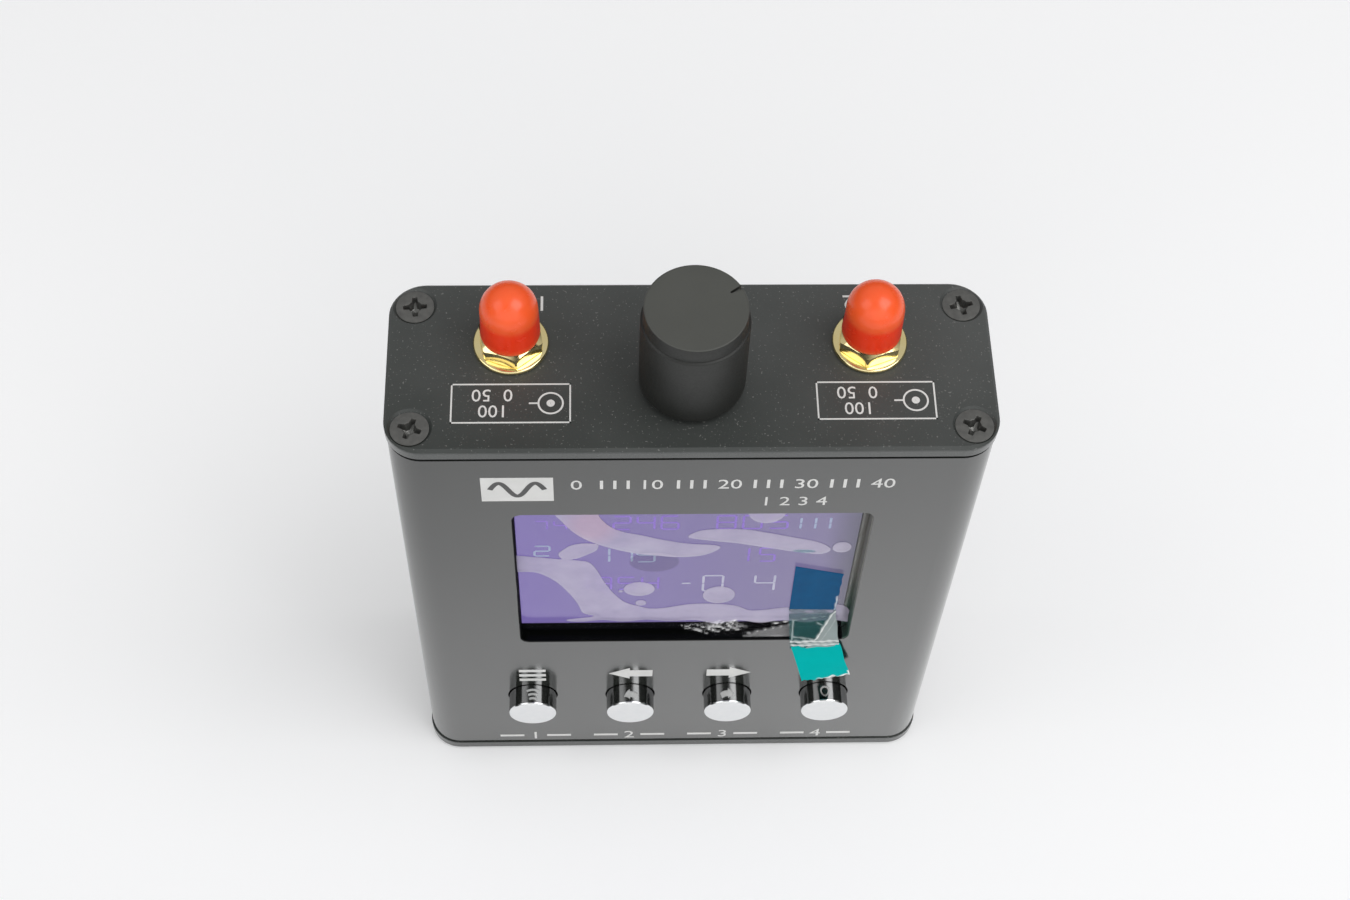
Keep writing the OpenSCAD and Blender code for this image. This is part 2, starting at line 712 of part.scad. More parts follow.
module tuning_knob() color([0.16, 0.16, 0.16]) at_knob() difference() {
    rotate_extrude() polygon([
        [0, knob_foot_z], [knob_r, knob_foot_z],
        [knob_r, knob_top_z - knob_bevel_h], [knob_r - knob_bevel_w, knob_top_z], [0, knob_top_z]]);
    translate([0, 0, knob_foot_z - over])
        cylinder(r = knob_r - knob_wall, h = knob_recess_top_z - knob_foot_z + over);
    translate([0, 0, knob_recess_top_z - over])
        linear_extrude(shaft_top_z - knob_recess_top_z + over) shaft_plan(push_gap);
    rotate(notch_turn) translate([knob_r - notch_l, -notch_w / 2, knob_top_z - notch_depth])
        cube([notch_l + over, notch_w, notch_depth + over]);
}

// ---- Display ----

module display_glass() color([0.45, 0.4, 0.65])
    box_at(glass_x, glass_y, picture_z - glass_h / 2, [glass_w, glass_t, glass_h]);

module display_backlight() color("whitesmoke")
    box_at(glass_x - flex_ledge / 2, backlight_y, picture_z - glass_h / 2,
           [glass_w - flex_ledge, backlight_t, glass_h]);

module display_foam() color("darkgray")
    box_at(picture_x, foam_y, picture_z - glass_h / 2 + foam_margin,
           [picture_w, foam_t, glass_h - 2 * foam_margin]);

// The flat cable leaves the glass's bare strip, turns back and lies on the board
module display_flex() color("orange") {
    start_x = glass_x + glass_w / 2 - flex_ledge + seat_gap;
    bend_y = backlight_y + flex_t / 2 + flex_bend_r;
    path = concat(
        [[start_x, bend_y - flex_bend_r]],
        [for (i = [0:bend_steps]) let (a = -90 + 180 * i / bend_steps)
            [flex_bend_x, bend_y] + flex_bend_r * [cos(a), sin(a)]],
        [[flex_bend_x - flex_tail, bend_y + flex_bend_r]]);
    translate([0, 0, picture_z - flex_w / 2]) linear_extrude(flex_w) strip(path, flex_t);
}

module screen_film() color([0.8, 0.8, 0.9, 0.4])
    box_at(glass_x - flex_ledge / 2, film_y, picture_z - glass_h / 2,
           [glass_w - flex_ledge, film_t, glass_h]);

// The clear tape is stuck to the film, rises in an S over the window's edge and hangs before the front wall
module pull_tape() color([0.85, 0.9, 0.9, 0.5]) {
    hang = [-sin(tab_tilt), -cos(tab_tilt)];
    path = concat(
        [[tape_y, tape_lip_z + tape_rise + tape_stuck_l]],
        [for (i = [0:bend_steps]) let (s = i / bend_steps)
            [tape_y + (tape_lip_y - tape_y) * (1 - cos(180 * s)) / 2, tape_lip_z + tape_rise * (1 - s)]],
        [for (l = [tape_over_edge / 4, tape_over_edge]) [tape_lip_y, tape_lip_z] + l * hang]);
    translate([tape_x - tape_w / 2, 0, 0]) rotate([90, 0, 90]) linear_extrude(tape_w)
        strip(path, tape_t);
}

// The tab laps the front of the tape's hanging end
module pull_tab() color([0, 0.68, 0.66])
    translate([tape_x, tape_lip_y, tape_lip_z]) rotate([-tab_tilt, 0, 0])
        translate([0, -tape_t / 2 - tab_t, -tape_over_edge / 2 - tape_w / 2 * sin(tab_turn)])
            rotate([0, -tab_turn, 0]) translate([-tape_w / 2, 0, -tab_l]) cube([tape_w, tab_t, tab_l]);

// ---- Keys ----

module key_cap(i) color("silver") on_front(key_xs[i], cap_back_y, key_z) {
    cap_l = cap_back_y - key_face_y;
    difference() {
        rotate_extrude() polygon([[0, 0], [key_cap_r, 0], [key_cap_r, cap_l - key_cap_bevel],
                                  [key_cap_r - key_cap_bevel, cap_l], [0, cap_l]]);
        translate([0, 0, -over])
            cylinder(r = plunger_r + push_gap, h = cap_back_y - plunger_tip_y + over);
    }
}

module switch_plunger(i) color([0.1, 0.1, 0.1]) on_front(key_xs[i], plunger_foot_y, key_z)
    cylinder(r = plunger_r, h = plunger_foot_y - plunger_tip_y);

module switch_body(i) color([0.2, 0.2, 0.2]) difference() {
    box_at(key_xs[i], switch_face_y, key_z - switch_side / 2, [switch_side, switch_t, switch_side]);
    on_front(key_xs[i], plunger_foot_y + key_travel + inner_gap, key_z)
        cylinder(r = plunger_r + running_gap, h = switch_t);
}

// ---- Boards and battery ----

module display_board() color("darkgreen")
    box_at(0, board_y, board_foot_z, [board_w, board_t, board_top_z - board_foot_z]);

module port_board() color("darkgreen")
    box_at(0, port_board_y, board_foot_z, [board_w, board_t, port_board_top_z - board_foot_z]);

module header_socket() color([0.1, 0.1, 0.1])
    box_at(0, board_back_y, header_z - header_h / 2,
           [header_w, port_board_y - header_pins_l - board_back_y, header_h]);

module header_pins() color([0.2, 0.2, 0.2])
    box_at(0, port_board_y - header_pins_l, header_z - header_h / 2,
           [header_w, header_pins_l, header_h]);

module shield_can() color("silver") difference() {
    box_at(0, port_board_y - can_t, can_z - can_side[1] / 2, [can_side[0], can_t, can_side[1]]);
    box_at(0, port_board_y - can_t + can_sheet, can_z - can_side[1] / 2 + can_sheet,
           [can_side[0] - 2 * can_sheet, can_t, can_side[1] - 2 * can_sheet]);
}

module radio_chip() color([0.1, 0.1, 0.1])
    box_at(0, port_board_y - radio_chip_size[2], can_z - radio_chip_size[1] / 2,
           [radio_chip_size[0], radio_chip_size[2], radio_chip_size[1]]);

module processor() color([0.1, 0.1, 0.1])
    box_at(0, board_back_y, can_z - processor_size[1] / 2,
           [processor_size[0], processor_size[2], processor_size[1]]);

module battery() color("lightgray")
    translate([0, (battery_y + battery_back_y) / 2, battery_from_foot])
        rounded_block(battery_w, battery_t, battery_h, battery_edge_r);

// Foam fills the space between the port board and the battery
module battery_foam() color("dimgray")
    box_at(0, port_board_back_y, battery_from_foot + battery_edge_r,
           [battery_w - 4 * battery_edge_r, battery_foam_t,
            battery_h - 2 * battery_edge_r]);

module battery_plug() color("ivory")
    box_at(0, port_board_back_y, battery_top_z + battery_lead_l,
           [battery_plug_w, battery_back_y - port_board_back_y - inner_gap, battery_plug_h]);

module battery_leads() color("red") for (x = [-1, 1])
    translate([x * battery_plug_w / 4, (battery_y + battery_back_y) / 2, battery_top_z])
        cylinder(r = battery_lead_r, h = battery_lead_l);

// ---- Foot ----

// A sheet shell, open at the foot, with a tongue that stands in it
module charging_socket() color("silver") {
    inner_w = usb_w - 2 * usb_sheet;
    inner_t = usb_t - 2 * usb_sheet;
    difference() {
        box_at(-usb_x, board_back_y, foot_sink, [usb_w, usb_t, usb_l]);
        box_at(-usb_x, board_back_y + usb_sheet, foot_sink - over,
               [inner_w, inner_t, usb_l - usb_sheet * 2 + over]);
    }
    box_at(-usb_x, board_back_y + usb_t / 2 - inner_t / 8, foot_sink + usb_l / 5,
           [inner_w * 0.75, inner_t / 4, usb_l * 0.75]);
}

module power_switch() color("silver") difference() {
    box_at(power_x, board_back_y, board_foot_z, power_size);
    box_at(power_x, board_back_y + power_size[1] / 2 - lever_t / 2 - seat_gap,
           board_foot_z - over,
           [lever_w + lever_travel + 2 * seat_gap, lever_t + 2 * seat_gap,
            power_size[2] * 0.7 + over]);
}

// The lever at its off end, one half of its travel left of the middle
module power_lever() color([0.1, 0.1, 0.1])
    box_at(power_x - lever_travel / 2, board_back_y + power_size[1] / 2 - lever_t / 2, foot_sink,
           [lever_w, lever_t, board_foot_z + power_size[2] * 0.7 - seat_gap - foot_sink]);

module charging_light() color("limegreen")
    translate([0, board_back_y + led_r + seat_gap, foot_sink + led_r]) {
        cylinder(r = led_r, h = 2 * led_r);
        intersection() {
            sphere(led_r);
            translate([0, 0, -led_r / 2]) cube([2 * led_r, 2 * led_r, led_r], center = true);
        }
    }

case_sleeve();
top_plate();
bottom_plate();
top_plate_screws();
bottom_plate_screws();
port_jack(-1);  // port_jack_1
port_jack(1);  // port_jack_2
port_insulator(-1);  // port_insulator_1
port_insulator(1);  // port_insulator_2
port_contact(-1);  // port_contact_1
port_contact(1);  // port_contact_2
port_washer(-1);  // port_washer_1
port_washer(1);  // port_washer_2
port_nut(-1);  // port_nut_1
port_nut(1);  // port_nut_2
dust_cap(-1);  // dust_cap_1
dust_cap(1);  // dust_cap_2
encoder_body();
encoder_pins();
encoder_bushing();
encoder_rotor();
encoder_shaft();
encoder_washer();
encoder_nut();
tuning_knob();
display_glass();
display_backlight();
display_foam();
display_flex();
screen_film();
pull_tape();
pull_tab();
key_cap(0);  // key_cap_1
key_cap(1);  // key_cap_2
key_cap(2);  // key_cap_3
key_cap(3);  // key_cap_4
switch_plunger(0);  // switch_plunger_1
switch_plunger(1);  // switch_plunger_2
switch_plunger(2);  // switch_plunger_3
switch_plunger(3);  // switch_plunger_4
switch_body(0);  // switch_body_1
switch_body(1);  // switch_body_2
switch_body(2);  // switch_body_3
switch_body(3);  // switch_body_4
display_board();
port_board();
header_socket();
header_pins();
shield_can();
radio_chip();
processor();
battery();
battery_foam();
battery_plug();
battery_leads();
charging_socket();
power_switch();
power_lever();
charging_light();
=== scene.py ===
# %% [markdown]
# # Dressing a handheld antenna analyzer
#
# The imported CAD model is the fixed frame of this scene: a metal case with two end plates, two coaxial ports under
# red caps, a knob, a display and four keys. This file adds what the CAD solids leave out: threads, cross recesses,
# rounded edges, the lit picture, a film with bubbles under it, a creased pull tape, printed marks and a finish for
# each surface. Apart from the printed numbers, each new shape is a function of two parameters on a grid, worked out
# with numpy as whole arrays.

# %% Load the frame
import json
import math

import bpy
import numpy as np
from mathutils import Matrix, Vector


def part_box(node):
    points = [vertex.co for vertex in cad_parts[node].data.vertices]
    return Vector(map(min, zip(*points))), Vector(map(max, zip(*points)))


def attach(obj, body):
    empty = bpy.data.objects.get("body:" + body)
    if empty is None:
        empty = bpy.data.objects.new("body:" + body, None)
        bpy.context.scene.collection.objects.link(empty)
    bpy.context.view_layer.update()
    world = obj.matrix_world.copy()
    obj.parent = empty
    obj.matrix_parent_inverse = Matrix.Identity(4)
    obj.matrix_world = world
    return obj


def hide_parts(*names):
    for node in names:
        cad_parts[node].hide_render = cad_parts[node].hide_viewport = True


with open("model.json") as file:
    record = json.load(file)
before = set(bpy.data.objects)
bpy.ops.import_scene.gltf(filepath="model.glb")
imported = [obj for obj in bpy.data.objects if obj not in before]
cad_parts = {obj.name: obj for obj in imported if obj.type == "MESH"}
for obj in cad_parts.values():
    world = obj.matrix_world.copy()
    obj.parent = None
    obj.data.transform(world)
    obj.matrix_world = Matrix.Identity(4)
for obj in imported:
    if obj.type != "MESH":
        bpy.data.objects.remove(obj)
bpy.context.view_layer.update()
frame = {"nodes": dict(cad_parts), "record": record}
MM = 0.001

# %% [markdown]
# ## The camera
#
# The photograph looks steeply down at the front. The camera was solved from the straight edges of the case, so its
# place and turn are plain numbers: a heading about the vertical, a tilt up from straight down, and a small roll
# about the line of sight. The lens is given for a 36 mm wide sensor.

# %% Camera
heading, tilt, roll = (math.radians(a) for a in (-3.99519, 31.37233, 3.07887))
lens_data = bpy.data.cameras.new("camera")
lens_data.lens = 57.2228
lens_data.sensor_width = 36.0


def into_scene(name, data):
    """An object with that data, linked to the scene."""
    made = bpy.data.objects.new(name, data)
    bpy.context.scene.collection.objects.link(made)
    return made


camera = into_scene("camera", lens_data)
turn = Matrix.Rotation(heading, 4, "Z") @ Matrix.Rotation(tilt, 4, "X") @ Matrix.Rotation(roll, 4, "Z")
camera.matrix_world = Matrix.Translation(Vector((-12.7645, -159.9474, 337.2211)) * MM) @ turn
bpy.context.scene.camera = camera

# %% [markdown]
# ## Shader maths as Python
#
# A material is a graph of nodes, and long graphs are hard to read when each link is written out. One small class
# wraps a socket and overloads the operators, so that an expression on values adds its Math nodes by itself. A second
# class holds the material, and one method of it adds any node from its type, its settings and its sockets.


# %% The socket wrapper and the material helper
class Value:
    """A socket for use in Python expressions: each operator adds one Math node, and the methods add other nodes."""

    def __init__(self, finish, socket):
        self.finish, self.socket = finish, socket

    def math(self, operation, *others, clamp=False):
        return self.finish.node("Math", {"operation": operation, "use_clamp": clamp}, [self, *others])

    def __add__(self, other):
        return self.math("ADD", other)

    def __mul__(self, other):
        return self.math("MULTIPLY", other)

    __radd__, __rmul__ = __add__, __mul__

    def __sub__(self, other):
        return self.math("SUBTRACT", other)

    def __rsub__(self, other):
        return self.finish.node("Math", {"operation": "SUBTRACT"}, [other, self])

    def __truediv__(self, other):
        return self.math("DIVIDE", other)

    def clamp(self):
        return self.math("ADD", 0.0, clamp=True)

    def ramp(self, start, end):
        """0 below start, 1 above end and straight between them, in either order."""
        return self.math("SUBTRACT", start).math("MULTIPLY", 1.0 / (end - start), clamp=True)

    def blend(self, first, second):
        """The colour that lies this far between two others."""
        return self.finish.node("Mix", {"data_type": "RGBA"}, {"Factor": self, "A": first, "B": second})

    def bump(self, depth, strength=1.0):
        """The normal of this height of 0 to 1 when it is that deep in millimetres."""
        return self.finish.node("Bump", {}, {"Strength": strength, "Distance": depth * MM, "Height": self})

    def noise(self, size, stretch=(1.0, 1.0, 1.0), detail=3.0):
        """Noise from 0 to 1 at this place, with lumps of that size in millimetres, stretched along the axes."""
        scale = tuple(1.0 / (size * s) for s in stretch)
        scaled = self.finish.node("VectorMath", {"operation": "MULTIPLY"}, [self, scale])
        return self.finish.node("TexNoise", {}, {"Vector": scaled, "Scale": 1.0, "Detail": detail})


class Finish:
    """A node tree and its main shader, whose constant sockets are given by name."""

    def __init__(self, name, owner=None, shader="BsdfPrincipled", **constants):
        self.owner = owner or bpy.data.materials.new(name)
        self.owner.use_nodes = True
        self.tree = self.owner.node_tree
        self.tree.nodes.clear()
        self.shader = self.tree.nodes.new("ShaderNode" + shader)
        output = self.tree.nodes.new("ShaderNodeOutputWorld" if shader == "Background" else "ShaderNodeOutputMaterial")
        self.tree.links.new(self.shader.outputs[0], output.inputs["Surface"])
        for key, value in constants.items():
            self.plug(self.shader, key.replace("_", " "), value)

    def plug(self, node, key, value):
        """Sets or links one input, given by its number or by its name among the inputs in use."""
        socket = node.inputs[key] if isinstance(key, int) else next(
            s for s in node.inputs if s.name == key and s.enabled)
        if isinstance(value, Value):
            self.tree.links.new(value.socket, socket)
        else:
            rgb = isinstance(value, tuple) and len(value) == 3 and len(socket.default_value) == 4
            socket.default_value = (*value, 1.0) if rgb else value

    def node(self, kind, settings=None, sockets=(), output=0):
        """Adds a node: its type, its settings first, then the values or links of its sockets."""
        made = self.tree.nodes.new("ShaderNode" + kind)
        for key, value in (settings or {}).items():
            setattr(made, key, value)
        for key, value in sockets.items() if isinstance(sockets, dict) else enumerate(sockets):
            self.plug(made, key, value)
        outputs = [s for s in made.outputs if s.enabled] if isinstance(output, int) else made.outputs
        return Value(self, outputs[output])

    def feed(self, **links):
        """Links what changes over the surface to the shader's sockets."""
        for key, value in links.items():
            self.plug(self.shader, key.replace("_", " "), value)
        return self

    def place(self):
        """The place on the object in millimetres: a vector, and its x, y and z."""
        where = self.node("TexCoord", output="Object")
        where = self.node("VectorMath", {"operation": "SCALE"}, {"Vector": where, "Scale": 1000.0})
        return (where, *(self.node("SeparateXYZ", {}, [where], output=axis) for axis in "XYZ"))

    def upright(self):
        """How far a face looks up or down: 1 on a level face, 0 on an upright wall."""
        return self.node("SeparateXYZ", {}, [self.node("TexCoord", output="Normal")], output="Z").math("ABSOLUTE")

    def mark(self, name):
        """A number that the mesh carries at each point, by its name."""
        return self.node("Attribute", {"attribute_name": name}, output="Fac")


# %% [markdown]
# ## Metal finishes
#
# The case is black anodised aluminium with a satin face. Seen from above, its upright walls mirror the pale floor,
# which turns them a mid grey, so the colour itself is dark and the gloss does the rest: a coat whose weight grows
# towards the foot and the right, where the photograph is lighter. The walls inside the display's window are painted
# near black and matt, as painted shade for the recess. A thin band just under the top plate is painted black, as
# a painted shadow for the gap there. The window's right wall is painted lighter, grey above and dark green below, as
# painted light. Masks made from the place on the object tell these areas apart. The end plates have a coarser,
# blasted face with painted glints: the highest values of a fine noise are painted as bright points, standing in for
# small grains that face the light. Their colour is also painted darker towards the front and the left and lighter
# towards the back and the right, as painted shade and light, over a random cloud.

# %% Case and plates
sleeve_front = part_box("case_sleeve")[0].y / MM
# Painted light: the colours of the window's right wall and of the display border beside it, grey above and dark green
# below.
painted_wall_light = (0.19, 0.19, 0.175), (0.045, 0.085, 0.068)
half_case = 41.0
case_finish = Finish("satin_anodised", IOR=1.5, Specular_IOR_Level=0.05, Coat_IOR=2.6, Coat_Roughness=0.15)
where, x, y, z = case_finish.place()
cloud = where.noise(14.0, (1.0, 1.0, 2.5))
grain = where.noise(0.35, (1.0, 1.0, 3.0), detail=2.0)
in_window = (x.ramp(-26.0, -25.8) * x.ramp(27.0, 26.8) * z.ramp(38.5, 38.7) * z.ramp(80.0, 79.8)
             * y.ramp(sleeve_front + 0.02, sleeve_front + 0.1) * y.ramp(0.0, -0.2))
# Painted light: the window's right wall is painted lighter.
painted_lit_wall = in_window * x.ramp(24.8, 25.0)
# Painted shade: the other walls of the window and a thin band under the top plate are painted near black and matt.
painted_shade = (in_window * (1.0 - painted_lit_wall)).math("MAXIMUM", z.ramp(93.5, 93.65))
face = cloud.blend((0.011, 0.013, 0.011), (0.019, 0.021, 0.018))
face = painted_lit_wall.blend(face, z.ramp(58.0, 46.0).blend(*painted_wall_light))
coat = 0.47 + z.ramp(95.0, 0.0) * 0.33 + x.ramp(-half_case, half_case) * 0.2
case_finish.feed(
    Base_Color=painted_shade.blend(face, (0.0008, 0.0012, 0.001)),
    Roughness=(0.12 + grain * 0.06 + cloud * 0.06 + painted_lit_wall * 0.6 + painted_shade * 0.7).clamp(),
    Coat_Weight=coat * (1.0 - painted_lit_wall * 0.9) * (1.0 - painted_shade * 0.97),
    Normal=grain.bump(0.002, 0.4))

plate_finish = Finish("blasted_anodised", IOR=1.5, Specular_IOR_Level=0.65, Coat_Roughness=0.15)
where, x, y, z = plate_finish.place()
grain = where.noise(0.32, detail=2.0)
# Painted glints: the highest values of a fine noise are painted as bright points.
painted_glint = where.noise(0.3, detail=1.0).ramp(0.68, 0.76)
edge = plate_finish.upright().ramp(0.75, 0.45) * z.ramp(95.9, 95.5)
# Painted shade and light: darker towards the front and left, lighter towards the back and right, over a random cloud.
tone_and_painted_shade = (where.noise(9.0) * 0.5 + x.ramp(-half_case, half_case) * 0.3 + y.ramp(-12.0, 4.0) * 0.4 - 0.1).clamp()
tone_and_painted_shade = tone_and_painted_shade.blend((0.012, 0.017, 0.014), (0.064, 0.068, 0.066))
plate_finish.feed(
    Base_Color=(painted_glint * (1.0 - edge) * 0.7).blend(tone_and_painted_shade, (0.2, 0.2, 0.19)),
    Roughness=0.4 + grain * 0.2 - painted_glint * 0.15 - edge * 0.25,
    Coat_Weight=edge * 0.45,
    Normal=grain.bump(0.03, 0.5 - edge * 0.3))

# %% [markdown]
# The screws are blackened steel, the port hardware is bright gold plate, the steel parts inside are nickel plated,
# the battery is a foil pouch, and the key caps are chrome. A polished metal is all reflection: its base colour tints
# what it mirrors, and a little wander in its roughness keeps the mirror from looking computed. The flank of a key cap
# is painted darker than its face, most at its left and right, as a painted dark reflection, so the mesh marks it.


# %% Screws, gold, nickel, foil and chrome
def metal(name, dark, light, size, rough, spread, bump, stretch=(1.0, 1.0, 1.0), detail=3.0, **constants):
    """Colour and roughness wander with one noise. The bump is a noise's size, depth and strength, or without a size
    it takes the same noise."""
    made = Finish(name, **constants)
    where = made.place()[0]
    wander = where.noise(size, stretch, detail)
    fine, depth, strength = bump
    return made.feed(Base_Color=wander.blend(dark, light), Roughness=rough + wander * spread,
                     Normal=(where.noise(fine) if fine else wander).bump(depth, strength))


screw_finish = metal("blackened_steel", (0.1, 0.101, 0.097), (0.19, 0.19, 0.18), 0.8, 0.24, 0.2, (0.3, 0.01, 0.4),
                     Metallic=0.7, IOR=1.6)
gold_finish = metal("gold_plate", (0.97, 0.77, 0.33), (1.0, 0.9, 0.52), 1.6, 0.05, 0.1, (0.4, 0.004, 0.35),
                    Metallic=1.0)
nickel_finish = metal("nickel_plate", (0.55, 0.54, 0.5), (0.72, 0.71, 0.68), 0.5, 0.2, 0.18, (None, 0.006, 0.4),
                      (6.0, 1.0, 1.0), Metallic=1.0)
pouch_finish = metal("foil_pouch", (0.5, 0.5, 0.5), (0.68, 0.68, 0.69), 3.0, 0.3, 0.25, (None, 0.12, 0.6),
                     (1.0, 1.0, 2.0), 5.0, Metallic=0.9)

chrome_finish = Finish("chrome_plate", Metallic=1.0)
haze = chrome_finish.place()[0].noise(1.2)
# The mark 'side' paints the flank of a key cap darker: a painted dark reflection.
chrome_finish.feed(
    Base_Color=chrome_finish.mark("side").blend(haze.blend((0.76, 0.78, 0.79), (0.85, 0.85, 0.85)), (0.0, 0.0, 0.0)),
    Roughness=0.03 + haze * 0.05)

# %% [markdown]
# ## Plastics, rubber and the rest
#
# The dust caps are dipped soft vinyl: light goes in a little way and comes out redder, which is what subsurface
# scattering does. A band of it over the foot is painted a deeper red and the rest oranger, as painted shade and light
# from above. The knob has a soft-touch skin: rough and nearly black, with fine pores, and its top is painted paler
# as painted light, over some random patches.

# %% Vinyl and knob
vinyl_finish = Finish("dipped_vinyl", Subsurface_Weight=0.15, Subsurface_Radius=(1.0, 0.25, 0.12),
                      Subsurface_Scale=0.001, IOR=1.45)
where, x, y, z = vinyl_finish.place()
# Painted shade and light: this band of the side is painted a deeper red, and the dome above it stays oranger, as lit
# from above.
painted_shade_band = z.ramp(104.6, 103.6) * z.ramp(99.6, 100.6)
dip = where.noise(2.4)
vinyl_finish.feed(
    Base_Color=(painted_shade_band * 0.75 + dip * 0.2).clamp().blend((0.97, 0.125, 0.03), (0.93, 0.03, 0.002)),
    Roughness=0.2 + dip * 0.12,
    Normal=where.noise(1.5, detail=1.0).bump(0.03, 0.5))

knob_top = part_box("tuning_knob")[1].z / MM
knob_finish = Finish("soft_touch", IOR=1.5)
where, x, y, z = knob_finish.place()
pores = where.noise(0.3, detail=2.0)
rubbed = where.noise(5.0)
# Painted light: the upward top is painted paler, as it faces the bright surroundings overhead.
painted_top_light = knob_finish.upright().ramp(0.3, 0.9) * z.ramp(knob_top - 0.8, knob_top - 0.6)
knob_finish.feed(
    Base_Color=(painted_top_light * 0.8 + rubbed * 0.2).blend((0.004, 0.0048, 0.0038), (0.074, 0.076, 0.068)),
    Roughness=0.42 + pores * 0.2,
    Normal=pores.bump(0.02, 0.4))


def moulded(name, dark, light, rough=0.5, size=0.4):
    """A moulded or matt piece: two near colours in soft clouds and a fine grain."""
    made = Finish(name)
    where = made.place()[0]
    grain = where.noise(size)
    return made.feed(Base_Color=where.noise(size * 12.0).blend(dark, light),
                     Roughness=rough - 0.08 + grain * 0.16, Normal=grain.bump(0.012, 0.5))


black_finish = moulded("black_moulding", (0.014, 0.014, 0.015), (0.03, 0.03, 0.031))
pale_finish = moulded("pale_moulding", (0.72, 0.71, 0.67), (0.83, 0.82, 0.78), 0.4)
insulator_finish = moulded("turned_insulator", (0.8, 0.8, 0.78), (0.9, 0.9, 0.88), 0.35)
foam_finish = moulded("cell_foam", (0.05, 0.05, 0.05), (0.11, 0.11, 0.11), 0.85, 0.7)
wire_finish = moulded("wire_skin", (0.45, 0.015, 0.012), (0.6, 0.03, 0.02), 0.4)
lamp_finish = moulded("lamp_lens", (0.12, 0.45, 0.14), (0.2, 0.6, 0.22), 0.25)

# %% [markdown]
# Inside, the boards are green with copper runs under the mask, and the display's cable is amber. They show only when
# the case is opened, so each has the few marks that tell what it is.

# %% Boards and cable
board_finish = Finish("board_mask")
where = board_finish.place()[0]
runs = board_finish.node("TexBrick", {}, {"Vector": where, "Scale": 0.22, "Mortar Size": 0.02, "Bias": 0.0,
                                          "Color1": (0.0, 0.0, 0.0), "Color2": (1.0, 1.0, 1.0),
                                          "Mortar": (0.5, 0.5, 0.5)}, output="Fac")
board_finish.feed(
    Base_Color=runs.blend((0.008, 0.075, 0.028), (0.02, 0.15, 0.055)),
    Roughness=0.3 + where.noise(0.8) * 0.15,
    Normal=runs.bump(0.03, 0.5))

cable_finish = Finish("amber_cable")
lane_pitch = 0.8
lanes = (cable_finish.place()[3] * (2.0 * math.pi / lane_pitch)).math("SINE").ramp(-0.2, 0.2)
cable_finish.feed(Base_Color=lanes.blend((0.5, 0.2, 0.02), (0.68, 0.32, 0.05)),
                  Roughness=0.25 + lanes * 0.12)

# %% [markdown]
# ## The lit picture
#
# The display glows from behind its glass. The glass keeps its CAD shape, and its material draws the lit rectangle
# from the place on the object: violet at the left, greyer to the right where it fades, and a black border round it,
# whose right part is painted lighter like the wall beside it, grey above and dark green below, as painted light. The
# picture is light, so it goes to the emission colour, while the gloss of the glass mirrors the pale floor over it.

# %% Display glass
glass_y = (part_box("display_glass")[0] / MM).y
left, right, foot, top = -24.45, 24.55, 41.65, 78.35
glass_finish = Finish("lit_glass", IOR=1.5, Emission_Strength=1.0)
where, x, y, z = glass_finish.place()
lit = (x.ramp(left - 0.05, left + 0.05) * x.ramp(right + 0.05, right) * z.ramp(foot - 0.05, foot + 0.1)
       * z.ramp(top + 0.05, top) * y.ramp(glass_y + 0.3, glass_y + 0.1))
glow = x.ramp(left, right).blend((0.19, 0.14, 0.41), (0.215, 0.19, 0.31))
glow = (x.ramp(20.0, 24.4) * 0.8).blend(glow, (0.085, 0.09, 0.1))
glow = (where.noise(7.0) * 0.25).blend(glow, (0.13, 0.1, 0.3))
# Painted light: the right part of the border is painted in the same colours as the window's right wall.
rim = z.ramp(58.0, 46.0).blend(*painted_wall_light)
glass_finish.feed(
    Base_Color=x.ramp(right + 0.2, right + 0.3).blend((0.006, 0.006, 0.008), rim),
    Emission_Color=lit.blend((0.0, 0.0, 0.0), glow),
    Roughness=0.05 + where.noise(2.0) * 0.05)
print("glass face at y = %.2f mm" % glass_y)

# %% [markdown]
# The digits are cells of the display that turn dark or light. Here each is a thin stroke between the glass and its
# film, in a faint colour of its own, as they barely show from this steep angle. The film itself is nearly clear, but
# where air has crept under it, it turns pale. The mesh carries how deep each point lies inside a bubble, so that the
# shader can draw a crisp edge at zero, and it also carries the folds along the film's creased foot, whose white is a
# painted highlight.


# %% Digits, film and print
def glowing(name, low, high):
    """A cell of the display that gives off light, in soft clouds of two near colours."""
    made = Finish(name, Base_Color=(0.02, 0.02, 0.02), Roughness=0.3, Emission_Strength=1.0)
    where = made.place()[0]
    return made.feed(Emission_Color=where.noise(2.5).blend(low, high))


violet_digit = glowing("violet_cells", (0.2, 0.11, 0.5), (0.26, 0.15, 0.6))
pale_digit = glowing("pale_cells", (0.36, 0.36, 0.5), (0.5, 0.49, 0.62))
cyan_digit = glowing("cyan_cells", (0.24, 0.28, 0.46), (0.36, 0.42, 0.58))

film_finish = Finish("clear_film", Specular_IOR_Level=0.3, IOR=1.5)
where, x, y, z = film_finish.place()
bubble = film_finish.mark("bubble").ramp(-0.03, 0.06)
# Painted highlight: the folds of the crumpled foot are painted white.
fold = film_finish.mark("fold")
soft = where.noise(5.0)


def spot(x, z, centre, radii, soft=0.4):
    """1 inside an ellipse on the front, fading to 0 past its edge."""
    u, v = (x - centre[0]) / radii[0], (z - centre[1]) / radii[1]
    return (u * u + v * v).math("SQRT").ramp(1.0 + soft, 1.0)


